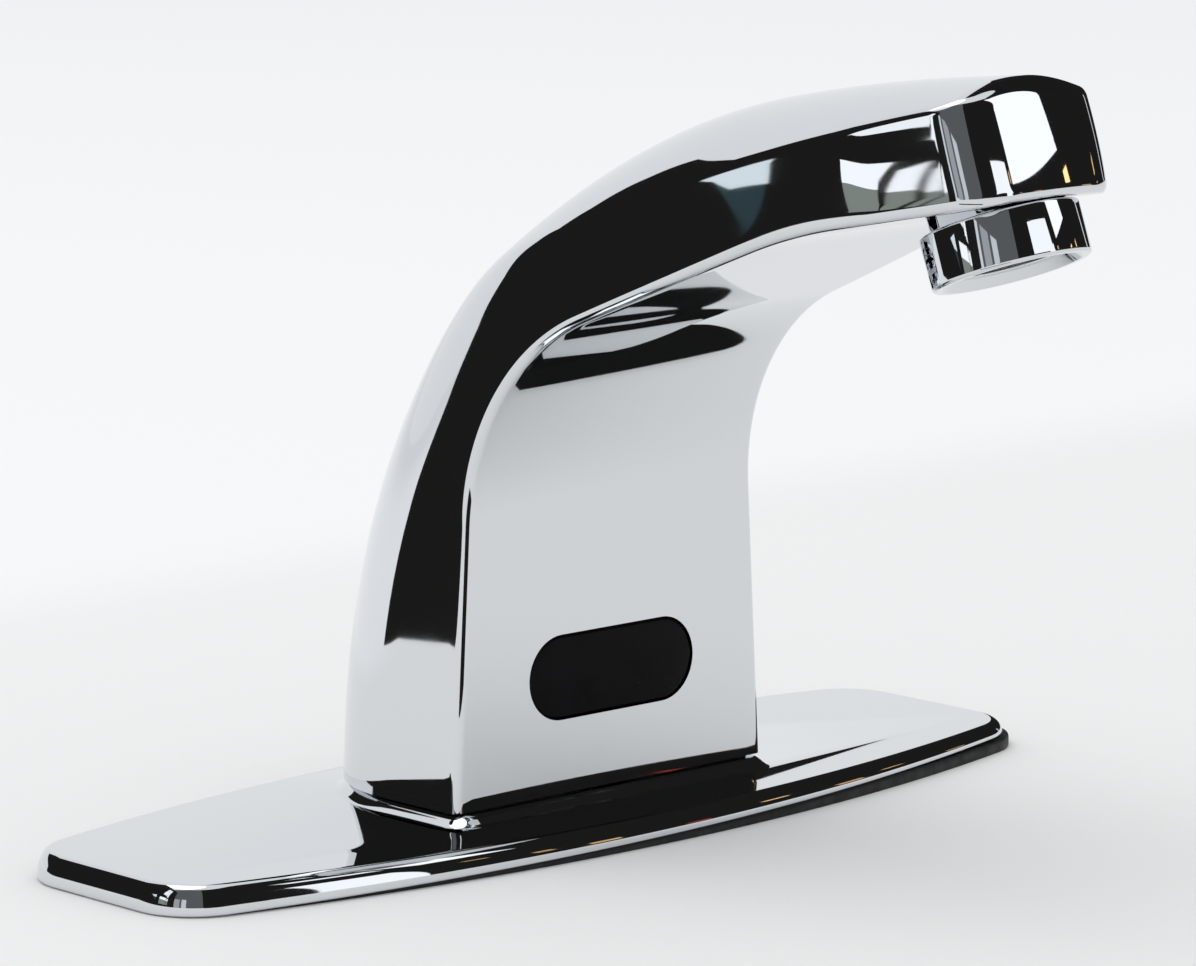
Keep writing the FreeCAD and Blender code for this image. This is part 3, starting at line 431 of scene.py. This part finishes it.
def build_body():
    """Body with its chamber, window opening and outlet bore."""
    body = body_mesh()
    boolean(body, chamber_tool(), "DIFFERENCE")
    opening = stadium(LENS_LENGTH + 0.2, LENS_HEIGHT + 0.2, LENS_LEVEL)
    boolean(body, prism("opening", opening, FRONT - 1, FRONT + WALL + 1, "y"), "DIFFERENCE")
    bore = [(9.0, -6.0), (9.0, 6.7), (7.2, 6.7), (7.2, 10.5), (0.02, 10.5), (0.02, -6.0)]
    boolean(body, lathe("bore", bore, outlet), "DIFFERENCE")
    finish_mesh(body, CUT_SMOOTH_ANGLE)
    return body


# Plate, boss and gasket.

BOW = (END ** 2 + (MIDDLE - SIDE) ** 2) / (2 * (MIDDLE - SIDE))
BOW_CENTRE = BOW - MIDDLE
CORNER_Y = BOW_CENTRE - math.sqrt((BOW - CORNER) ** 2 - (END - CORNER) ** 2)


def plate_loop(grow=0.0, long_steps=96, corner_steps=20):
    """Outline of the plate as (x, y, normal x, normal y), grown by a margin."""
    tip = math.atan2(END - CORNER, BOW_CENTRE - CORNER_Y)
    quarter = []
    for k in range(long_steps // 2 + 1):
        turn = tip * k / (long_steps // 2)
        quarter.append((math.sin(turn) * (BOW + grow), BOW_CENTRE - math.cos(turn) * (BOW + grow),
                        math.sin(turn), -math.cos(turn)))
    for k in range(1, corner_steps + 1):
        turn = tip + (math.pi / 2 - tip) * k / corner_steps
        nx, ny = math.sin(turn), -math.cos(turn)
        quarter.append((END - CORNER + nx * (CORNER + grow), CORNER_Y + ny * (CORNER + grow), nx, ny))
    for k in range(1, 4):
        quarter.append((END + grow, CORNER_Y * (1 - k / 4), 1.0, 0.0))
    right = quarter + [(END + grow, 0.0, 1.0, 0.0)] + [(x, -y, nx, -ny) for x, y, nx, ny in quarter[::-1]]
    return right + [(-x, y, -nx, ny) for x, y, nx, ny in right[-2:0:-1]]


def rim(x):
    """Level of the rim's plane, which lies lower at the left end."""
    return RIM_LOW + RIM_SLOPE * (x + END)


def plate_mesh():
    """Plate as a closed shell: hollow below, round rim, rolled edge and flat top."""
    loop = plate_loop()
    rows = []

    def row(inset, level):
        rows.append([(x - nx * inset(x), y - ny * inset(x), level(x)) for x, y, nx, ny in loop])

    row(lambda x: 1.6, lambda x: PLATE_TOP - 1.4)
    row(lambda x: 1.6, lambda x: rim(x) + 0.3)
    row(lambda x: 1.3, lambda x: rim(x))
    for k in range(8):
        turn = math.pi / 2 * k / 7
        row(lambda x, t=turn: RIM_ROUND * (1 - math.sin(t)),
            lambda x, t=turn: rim(x) + RIM_ROUND * (1 - math.cos(t)))
    for k in range(1, 25):
        turn = math.pi / 2 * k / 24
        row(lambda x, t=turn: ROLL * (1 - math.cos(t)),
            lambda x, t=turn: PLATE_TOP - (PLATE_TOP - rim(x) - RIM_ROUND) * (1 - math.sin(t)))
    count = len(loop)
    verts = [v for r in rows for v in r]
    plate = mesh_object("deck_cover", verts, ring_faces(len(rows), count))
    boolean(plate, boss_mesh(), "UNION")
    turns = [2 * math.pi * k / 96 for k in range(96)]
    hole = [(PLATE_HOLE * math.cos(turn), PLATE_HOLE_Y + PLATE_HOLE * math.sin(turn)) for turn in turns]
    boolean(plate, prism("plate_hole", hole, -1.0, BOSS_TOP + 1.0), "DIFFERENCE")
    finish_mesh(plate, CUT_SMOOTH_ANGLE)
    return plate


def d_loop(side, front_y, crest, corner, crown, edge):
    """D-shaped outline of the column's foot as (x, y, normal x, normal y)."""
    reach = math.sqrt((crown - corner) ** 2 - (side - corner) ** 2)
    corner_y = crest - crown + reach
    slant = math.atan2(reach, side - corner)
    half = [((side - edge) * k / 24, front_y, 0.0, -1.0) for k in range(24)]
    for k in range(13):
        turn = -math.pi / 2 * (1 - k / 12)
        half.append((side - edge + edge * math.cos(turn), front_y + edge + edge * math.sin(turn),
                     math.cos(turn), math.sin(turn)))
    for k in range(1, 6):
        half.append((side, front_y + edge + (corner_y - front_y - edge) * k / 6, 1.0, 0.0))
    for k in range(21):
        turn = slant * k / 20
        half.append((side - corner + corner * math.cos(turn), corner_y + corner * math.sin(turn),
                     math.cos(turn), math.sin(turn)))
    for k in range(1, 25):
        turn = slant + (math.pi / 2 - slant) * k / 24
        half.append((crown * math.cos(turn), crest - crown + crown * math.sin(turn),
                     math.cos(turn), math.sin(turn)))
    half[-1] = (0.0, crest, 0.0, 1.0)
    return half + [(-x, y, -nx, ny) for x, y, nx, ny in half[-2:0:-1]]


def boss_mesh():
    """Raised ground of the column's foot, with a soft slope all round."""
    side, ahead, slope = 1.4, 3.0, 2.6
    loop = d_loop(HALF_WIDTH + side, FRONT - ahead, FRONT + DEPTH + side, BACK_CORNER + side,
                  BACK_CROWN + side, EDGE + ahead)
    rows = [[(x, y, PLATE_TOP - 0.7) for x, y, _, _ in loop]]
    for k in range(17):
        inset = slope * k / 16
        level = PLATE_TOP - 0.02 + (BOSS_TOP - PLATE_TOP + 0.02) * ease(k / 16)
        rows.append([(x - nx * inset, y - ny * inset, level) for x, y, nx, ny in loop])
    verts = [v for r in rows for v in r]
    return mesh_object("boss", verts, ring_faces(len(rows), len(loop)))


def gasket_mesh():
    """Rubber under the rim, with softened edges; its right end has slipped out."""
    inset, overhang, thickness, soft = 0.35, 1.6, 1.8, 0.35
    slip = inset + overhang
    loop = plate_loop(-inset)
    rows = []

    def top(x):
        return min(thickness, max(rim(x + slip) - 0.05, 0.06))

    edge = ((soft * 0.3, 0.0), (0.08, 0.06), (0.0, 0.2), (0.0, 0.75), (0.08, 0.9), (soft * 0.4, 0.97),
            (soft, 1.0), (3.0, 1.0))
    for step, share in edge:
        rows.append([(x - nx * step * min(1, top(x)) + slip, y - ny * step * min(1, top(x)), top(x) * share)
                     for x, y, nx, ny in loop])
    verts = [v for r in rows for v in r]
    return mesh_object("gasket_pad", verts, ring_faces(len(rows), len(loop)))


# Window and aerator.

def lens_mesh():
    """Lens with a soft front edge and its flange behind the wall."""
    profile = [(0.45, 0.0), (0.30, 0.03), (0.14, 0.12), (0.04, 0.26), (0.0, 0.45), (0.0, LENS_THICKNESS),
               (-LENS_FLANGE, LENS_THICKNESS), (-LENS_FLANGE, LENS_THICKNESS + 1.0)]
    rows = []
    for inset, y in profile:
        outline = stadium(LENS_LENGTH - 2 * inset, LENS_HEIGHT - 2 * inset, LENS_LEVEL, 40)
        rows.append([(x, FRONT + LENS_RECESS + y, z) for x, z in outline])
    verts = [v for r in rows for v in r]
    return mesh_object("window_lens", verts, ring_faces(len(rows), len(rows[0])))


def ring_mesh():
    """Aerator ring: rounded rim, recessed mouth, inner lip and thread."""
    corners = [(9.3, -7.2), (10.5, -7.2), (10.5, -0.1), (9.15, -0.1), (8.95, 0.3), (8.95, 5.0), (8.0, 5.0),
               (8.0, -4.7), (7.4, -4.7), (7.4, -5.7), (8.2, -5.9)]
    radii = [0.25, 0.5, 0.35, 0.0, 0.0, 0.2, 0.1, 0.0, 0.15, 0.15, 0.2]
    return lathe("aerator_ring_shell", rounded(corners, radii), outlet, 160)


# Materials.

def material(name, colour, metallic=0.0, roughness=0.4, **sockets):
    """Principled material; sockets take plain values."""
    made = bpy.data.materials.new(name)
    made.use_nodes = True
    shader = made.node_tree.nodes["Principled BSDF"]
    shader.inputs["Base Color"].default_value = (*colour, 1.0)
    shader.inputs["Metallic"].default_value = metallic
    shader.inputs["Roughness"].default_value = roughness
    for label, value in sockets.items():
        shader.inputs[label.replace("_", " ")].default_value = value
    return made


def noise_node(made, scale, detail=3.0):
    """Noise over the object's own coordinates, in metres."""
    nodes, links = made.node_tree.nodes, made.node_tree.links
    coords = nodes.new("ShaderNodeTexCoord")
    noise = nodes.new("ShaderNodeTexNoise")
    noise.inputs["Scale"].default_value = scale
    noise.inputs["Detail"].default_value = detail
    links.new(coords.outputs["Object"], noise.inputs["Vector"])
    return noise


def vary_roughness(made, noise, low, high, start=0.35, end=0.7):
    """Roughness between two values, following a noise."""
    nodes, links = made.node_tree.nodes, made.node_tree.links
    spread = nodes.new("ShaderNodeMapRange")
    spread.inputs["From Min"].default_value = start
    spread.inputs["From Max"].default_value = end
    spread.inputs["To Min"].default_value = low
    spread.inputs["To Max"].default_value = high
    links.new(noise.outputs["Fac"], spread.inputs["Value"])
    links.new(spread.outputs["Result"], nodes["Principled BSDF"].inputs["Roughness"])


def vary_colour(made, noise, dark, light):
    """Colour between two values, following a noise."""
    nodes, links = made.node_tree.nodes, made.node_tree.links
    ramp = nodes.new("ShaderNodeValToRGB")
    ramp.color_ramp.elements[0].position = 0.3
    ramp.color_ramp.elements[0].color = (*dark, 1.0)
    ramp.color_ramp.elements[1].position = 0.72
    ramp.color_ramp.elements[1].color = (*light, 1.0)
    links.new(noise.outputs["Fac"], ramp.inputs["Fac"])
    links.new(ramp.outputs["Color"], nodes["Principled BSDF"].inputs["Base Color"])


def add_bump(made, noise, strength, distance):
    """Fine relief that follows a noise."""
    nodes, links = made.node_tree.nodes, made.node_tree.links
    bump = nodes.new("ShaderNodeBump")
    bump.inputs["Strength"].default_value = strength
    bump.inputs["Distance"].default_value = distance
    links.new(noise.outputs["Fac"], bump.inputs["Height"])
    links.new(bump.outputs["Normal"], nodes["Principled BSDF"].inputs["Normal"])


def chrome(name, low=0.012, high=0.045):
    """Polished chrome plating with faint smudges and a trace of polishing waviness."""
    made = material(name, (0.72, 0.742, 0.765), 1.0, low)
    vary_roughness(made, noise_node(made, 55.0, 4.0), low, high)
    add_bump(made, noise_node(made, 26.0, 1.0), 0.12, 0.00004)
    return made


def rubber(name):
    """Matt black rubber with a fine grain."""
    made = material(name, (0.012, 0.012, 0.013), 0.0, 0.55, Specular_IOR_Level=0.4)
    vary_roughness(made, noise_node(made, 420.0, 3.0), 0.42, 0.7)
    add_bump(made, noise_node(made, 1800.0, 2.0), 0.35, 0.00006)
    return made


def plastic(name, dark, light, rough=0.4):
    """Moulded plastic with a fine grain."""
    made = material(name, light, 0.0, rough)
    vary_colour(made, noise_node(made, 300.0, 3.0), dark, light)
    add_bump(made, noise_node(made, 2600.0, 2.0), 0.2, 0.00003)
    return made


def metal(name, dark, light, low, high, scale=240.0):
    """Machined metal with uneven sheen."""
    made = material(name, light, 1.0, low)
    noise = noise_node(made, scale, 4.0)
    vary_roughness(made, noise, low, high)
    vary_colour(made, noise, dark, light)
    add_bump(made, noise_node(made, scale * 3, 2.0), 0.2, 0.00003)
    return made


def lens_material():
    """Dark infrared window: glossy, near black, with a trace of deep red."""
    made = material("lens", (0.003, 0.003, 0.0035), 0.0, 0.06, Specular_IOR_Level=0.06)
    noise = noise_node(made, 160.0, 2.0)
    vary_roughness(made, noise, 0.05, 0.1)
    vary_colour(made, noise, (0.002, 0.002, 0.0025), (0.004, 0.0035, 0.0045))
    return made


def mesh_screen():
    """Woven steel wire: crossed waves in colour."""
    made = material("wire_screen", (0.45, 0.45, 0.46), 1.0, 0.35)
    nodes, links = made.node_tree.nodes, made.node_tree.links
    coords = nodes.new("ShaderNodeTexCoord")
    product = nodes.new("ShaderNodeMath")
    product.operation = "MAXIMUM"
    for index, axis in enumerate(("X", "Y")):
        wave = nodes.new("ShaderNodeTexWave")
        wave.bands_direction = axis
        wave.inputs["Scale"].default_value = 320.0
        links.new(coords.outputs["Object"], wave.inputs["Vector"])
        links.new(wave.outputs["Fac"], product.inputs[index])
    ramp = nodes.new("ShaderNodeValToRGB")
    ramp.color_ramp.elements[0].position = 0.55
    ramp.color_ramp.elements[0].color = (0.04, 0.04, 0.045, 1.0)
    ramp.color_ramp.elements[1].position = 0.8
    ramp.color_ramp.elements[1].color = (0.6, 0.6, 0.62, 1.0)
    links.new(product.outputs["Value"], ramp.inputs["Fac"])
    links.new(ramp.outputs["Color"], nodes["Principled BSDF"].inputs["Base Color"])
    return made


def dress(item, made):
    """Give a piece one material."""
    item.data.materials.clear()
    item.data.materials.append(made)


chrome_body = chrome("chrome_body")
chrome_plate = chrome("chrome_plate", 0.014, 0.05)
chrome_ring = chrome("chrome_ring", 0.012, 0.04)
black_rubber = rubber("black_rubber")

pieces = [
    (build_body(), "tap_body", "tap", "chrome_body", chrome_body),
    (plate_mesh(), "deck_plate", "tap", "chrome_plate", chrome_plate),
    (gasket_mesh(), "deck_gasket", "tap", "black_rubber", black_rubber),
    (lens_mesh(), "sensor_window", "tap", "dark_lens", lens_material()),
    (ring_mesh(), "aerator_housing", "aerator_ring", "chrome_ring", chrome_ring),
]
for item, node, rider, slot_name, made in pieces:
    dress(item, made)
    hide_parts(node)
    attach(item, rider)

brass = metal("brass", (0.45, 0.30, 0.12), (0.72, 0.54, 0.27), 0.2, 0.38)
steel = metal("steel", (0.42, 0.42, 0.44), (0.66, 0.66, 0.68), 0.22, 0.4, 500.0)
black_plastic = plastic("black_plastic", (0.014, 0.014, 0.015), (0.03, 0.03, 0.032))
eye_clear = material("eye_clear", (0.5, 0.56, 0.68), 0.0, 0.08, Coat_Weight=0.5)
eye_dark = material("eye_dark", (0.02, 0.012, 0.03), 0.0, 0.1, Coat_Weight=0.5)
for made in (eye_clear, eye_dark):
    vary_roughness(made, noise_node(made, 300.0, 2.0), 0.05, 0.14)
CARRIED = {
    "base_seal": black_rubber, "window_seal": black_rubber, "inlet_ring": black_rubber,
    "tube_collar": black_rubber, "cable_grommet": black_rubber, "aerator_washer": black_rubber,
    "sensor_housing": black_plastic,
    "sensor_board": plastic("board_green", (0.012, 0.09, 0.035), (0.03, 0.16, 0.07), 0.35),
    "infrared_emitter": eye_clear, "infrared_receiver": eye_dark,
    "sensor_screws": steel, "base_screws": steel,
    "base_insert": brass, "inlet_connector": brass, "supply_tube": brass,
    "aerator_cartridge": plastic("cartridge_grey", (0.05, 0.05, 0.052), (0.09, 0.09, 0.092)),
    "aerator_screens": mesh_screen(),
    "flow_regulator": plastic("regulator_blue", (0.06, 0.14, 0.3), (0.12, 0.26, 0.5)),
}
for node, made in CARRIED.items():
    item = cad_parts[node]
    if not item.material_slots:
        item.data.materials.append(made)
    for place in item.material_slots:
        place.material = made


# Floor, surroundings, light and camera.

def stage_object(name, verts, faces, made):
    """Mesh in metres that belongs to the studio and not to the tap."""
    mesh = bpy.data.meshes.new(name)
    mesh.from_pydata(verts, [], faces)
    item = bpy.data.objects.new(name, mesh)
    bpy.context.scene.collection.objects.link(item)
    item.data.materials.append(made)
    return item


def floor():
    """Off-white table that turns a little lighter and cooler behind the tap."""
    made = material("floor", TABLE_FRONT_COLOUR, 0.0, 0.6, Specular_IOR_Level=0.0)
    vary_roughness(made, noise_node(made, 3.0, 2.0), 0.55, 0.7)
    nodes, links = made.node_tree.nodes, made.node_tree.links
    coords = nodes.new("ShaderNodeTexCoord")
    parts = nodes.new("ShaderNodeSeparateXYZ")
    spread = nodes.new("ShaderNodeMapRange")
    spread.inputs["From Min"].default_value = TABLE_BACK - TABLE_BLEND
    spread.inputs["From Max"].default_value = TABLE_BACK + TABLE_BLEND
    ramp = nodes.new("ShaderNodeValToRGB")
    ramp.color_ramp.interpolation = "EASE"
    ramp.color_ramp.elements[0].color = (*TABLE_FRONT_COLOUR, 1.0)
    ramp.color_ramp.elements[1].color = (*TABLE_BACK_COLOUR, 1.0)
    links.new(coords.outputs["Object"], parts.inputs["Vector"])
    links.new(parts.outputs["Y"], spread.inputs["Value"])
    links.new(spread.outputs["Result"], ramp.inputs["Fac"])
    links.new(ramp.outputs["Color"], nodes["Principled BSDF"].inputs["Base Color"])
    reach = 30.0
    corners = [(-reach, -reach, 0.0), (reach, -reach, 0.0), (reach, reach, 0.0), (-reach, reach, 0.0)]
    stage_object("floor", corners, [(0, 1, 2, 3)], made)


def glow(name, colour, strength):
    """Plain light-giving material."""
    made = bpy.data.materials.new(name)
    made.use_nodes = True
    nodes, links = made.node_tree.nodes, made.node_tree.links
    nodes.clear()
    light = nodes.new("ShaderNodeEmission")
    light.inputs["Color"].default_value = (*colour, 1.0)
    light.inputs["Strength"].default_value = strength
    links.new(light.outputs["Emission"], nodes.new("ShaderNodeOutputMaterial").inputs["Surface"])
    return made


def card(name, verts, faces, colour, strength):
    """Studio card that shows in reflections only."""
    item = stage_object(name, verts, faces, glow(name, colour, strength))
    item.visible_camera = False
    item.visible_diffuse = False
    item.visible_shadow = False


def far_card(name, edge, radius, colour=ROOM, strength=1.0):
    """Card round the tap from (azimuth, lower, upper) in degrees; azimuth 0 is +Y and 90 is +X."""
    verts, faces = [], []
    rows = 8
    for azimuth, low, high in edge:
        turn = math.radians(azimuth)
        for k in range(rows + 1):
            rise = math.radians(low + (high - low) * k / rows)
            level = max(radius * math.tan(rise), 0.0005)
            verts.append((radius * math.sin(turn), radius * math.cos(turn), level))
    for i in range(len(edge) - 1):
        for k in range(rows):
            n = i * (rows + 1) + k
            faces.append((n, n + rows + 1, n + rows + 2, n + 1))
    card(name, verts, faces, colour, strength)


def arc_of(start, end, low, high):
    """Edge of a far card with level borders."""
    count = max(2, int(abs(end - start) / 4))
    return [(start + (end - start) * k / count, low, high) for k in range(count + 1)]


def wall_card(name, outline, colour=ROOM, strength=1.0, ahead=0.0):
    """Flat upright card behind the tap on the left, from (along, height) in millimetres."""
    foot_x, foot_y = -141.9 + 0.6 * ahead, 189.2 - 0.8 * ahead
    verts = [((foot_x - 0.8 * along) * MM, (foot_y - 0.6 * along) * MM, max(height, 0.4) * MM)
             for along, height in outline]
    card(name, verts, [tuple(range(len(verts)))], colour, strength)


def flat_card(name, ends, low, high, colour, strength):
    """Upright card between two places on the table, in metres."""
    (ax, ay), (bx, by) = ends
    verts = [(ax, ay, low), (bx, by, low), (bx, by, high), (ax, ay, high)]
    card(name, verts, [(0, 1, 2, 3)], colour, strength)


def sky():
    """Pale light from all round."""
    world = bpy.data.worlds.new("studio")
    bpy.context.scene.world = world
    world.use_nodes = True
    nodes, links = world.node_tree.nodes, world.node_tree.links
    nodes.clear()
    output = nodes.new("ShaderNodeOutputWorld")
    light = nodes.new("ShaderNodeBackground")
    light.inputs["Color"].default_value = (*SKY, 1.0)
    light.inputs["Strength"].default_value = 1.0
    links.new(light.outputs["Background"], output.inputs["Surface"])


# Span of azimuths and brightness of the side windows.
SIDE_WINDOWS = [(239.0, 246.0, 0.75), (249.0, 258.0, 0.45), (261.0, 272.0, 0.85)]

# Ends of the low window panes along the wall, in millimetres.
LOW_PANES = [(237.0, 318.5), (321.5, 328.5), (331.0, 335.0), (336.5, 352.0)]

# Span of azimuths, span of heights in degrees, and brightness of small lamps.
SMALL_LAMPS = [(126.0, 128.5, 15.2, 16.8, 2.0), (115.0, 117.0, 13.0, 14.8, 1.2),
               (151.0, 153.0, 20.2, 21.6, 0.8), (121.0, 123.5, 3.0, 8.0, 0.7), (143.0, 145.5, 3.0, 7.0, 0.8),
               (148.0, 149.5, 8.0, 12.0, 0.6), (110.0, 112.0, 4.0, 7.0, 0.6)]


def room_cards():
    """Dark room on all sides but the back, and the dark corner above the back on the left."""
    far_card("room", arc_of(50.0, 214.0, -3.0, 62.0), 2.4)
    far_card("room_near", arc_of(214.0, 322.0, -3.0, 62.0), 2.4, DIM_ROOM)
    far_card("room_left", [(322.0, -3.0, 55.0), (328.0, 0.0, 50.0), (336.0, 5.0, 46.0), (346.0, 12.0, 43.0),
                           (358.0, 17.0, 39.0), (366.0, 20.0, 36.0), (373.0, 21.0, 31.5)], 2.35)
    far_card("room_right", arc_of(44.5, 50.0, 16.0, 62.0), 2.38)
    wall_card("wall", [(2.0, 0.0), (520.0, 0.0), (520.0, 420.0), (-45.0, 420.0), (-45.0, 150.0),
                       (-30.0, 100.0), (-2.0, 55.0)])


def window_cards():
    """Windows that the spout's flank mirrors."""
    for k, (start, end) in enumerate(LOW_PANES):
        pane = [(start, 68.0), (end, 72.0), (end, 109.0), (start, 98.0)]
        street = [(start, 20.0), (end, 20.0), (end, 72.0), (start, 68.0)]
        wall_card(f"pane_{k}", pane, WHITE, 1.3, 4.0)
        wall_card(f"street_{k}", street, STREET, 0.45, 4.0)
    wall_card("pane_high", [(321.5, 134.0), (331.0, 134.0), (334.0, 127.0), (346.0, 122.0), (352.0, 330.0),
                            (322.0, 330.0)], WHITE, 1.3, 4.0)
    wall_card("pane_corner", [(258.0, 152.0), (318.0, 149.0), (318.0, 330.0), (258.0, 330.0)], WHITE, 1.2, 4.0)
    wall_card("patch", [(160.0, 82.0), (200.0, 100.0), (202.0, 70.0), (180.0, 70.0)], (0.86, 0.95, 1.0),
              1.0, 4.0)
    wall_card("patch_tail", [(172.0, 74.0), (201.0, 71.0), (204.0, 34.0)], (0.035, 0.06, 0.07), 1.0, 3.0)
    for start, end, level in SIDE_WINDOWS:
        far_card("pane_side", arc_of(start, end, -2.0, 19.0), 2.2, (0.9, 0.95, 1.0), level)


def light_cards():
    """Bright strips on the nose, the aerator and the plate's edge, a shade beside them, and small lamps."""
    flat_card("strip", ((0.082, -0.155), (0.050, -0.185)), 0.131, 0.270, WHITE, 1.4)
    far_card("strip_low", arc_of(158.0, 166.0, -3.0, 23.0), 2.2, WHITE, 1.3)
    flat_card("aerator_light", ((0.017, -0.148), (-0.015, -0.148)), 0.104, 0.123, WHITE, 1.3)
    flat_card("near_shade", ((-0.037, -0.154), (-0.131, -0.110)), 0.0005, 0.031, ROOM, 1.0)
    far_card("edge_light", arc_of(84.0, 87.0, 0.5, 14.0), 2.2, WHITE, 0.8)
    for k, (start, end, low, high, level) in enumerate(SMALL_LAMPS):
        far_card(f"lamp_{k}", arc_of(start, end, low, high), 2.15, WARM, level)
    far_card("lamp_red", arc_of(135.5, 137.5, 2.0, 4.5), 2.15, (0.5, 0.06, 0.04), 1.0)


def lamp():
    """Large soft lamp above."""
    light = bpy.data.lights.new("soft_top", "AREA")
    light.shape = "DISK"
    light.size = 1.6
    light.energy = 6.0
    item = bpy.data.objects.new("soft_top", light)
    item.location = (-0.5, 0.3, 1.8)
    item.rotation_euler = (Vector((0.0, 0.0, 0.0)) - item.location).to_track_quat("-Z", "Y").to_euler()
    bpy.context.scene.collection.objects.link(item)


def camera():
    """Camera at the photograph's place."""
    yaw, pitch, roll = math.radians(43.0231), math.radians(9.7613), math.radians(-0.0301)
    ahead = Vector((math.sin(yaw) * math.cos(pitch), math.cos(yaw) * math.cos(pitch), -math.sin(pitch)))
    right = Vector((math.cos(yaw), -math.sin(yaw), 0.0))
    up = right.cross(ahead)
    across = math.cos(roll) * right + math.sin(roll) * up
    above = -math.sin(roll) * right + math.cos(roll) * up
    spot = Vector((-0.553827, -0.604808, 0.187327))
    view = bpy.data.cameras.new("photo_camera")
    view.sensor_width = 36.0
    view.lens = 36.0 * 5999.0 / 1196.0
    view.clip_start, view.clip_end = 0.05, 100.0
    item = bpy.data.objects.new("photo_camera", view)
    item.matrix_world = Matrix(((across.x, above.x, -ahead.x, spot.x),
                                (across.y, above.y, -ahead.y, spot.y),
                                (across.z, above.z, -ahead.z, spot.z),
                                (0.0, 0.0, 0.0, 1.0)))
    bpy.context.scene.collection.objects.link(item)
    bpy.context.scene.camera = item


floor()
sky()
room_cards()
window_cards()
light_cards()
lamp()
camera()
bpy.context.scene.view_settings.view_transform = "Standard"
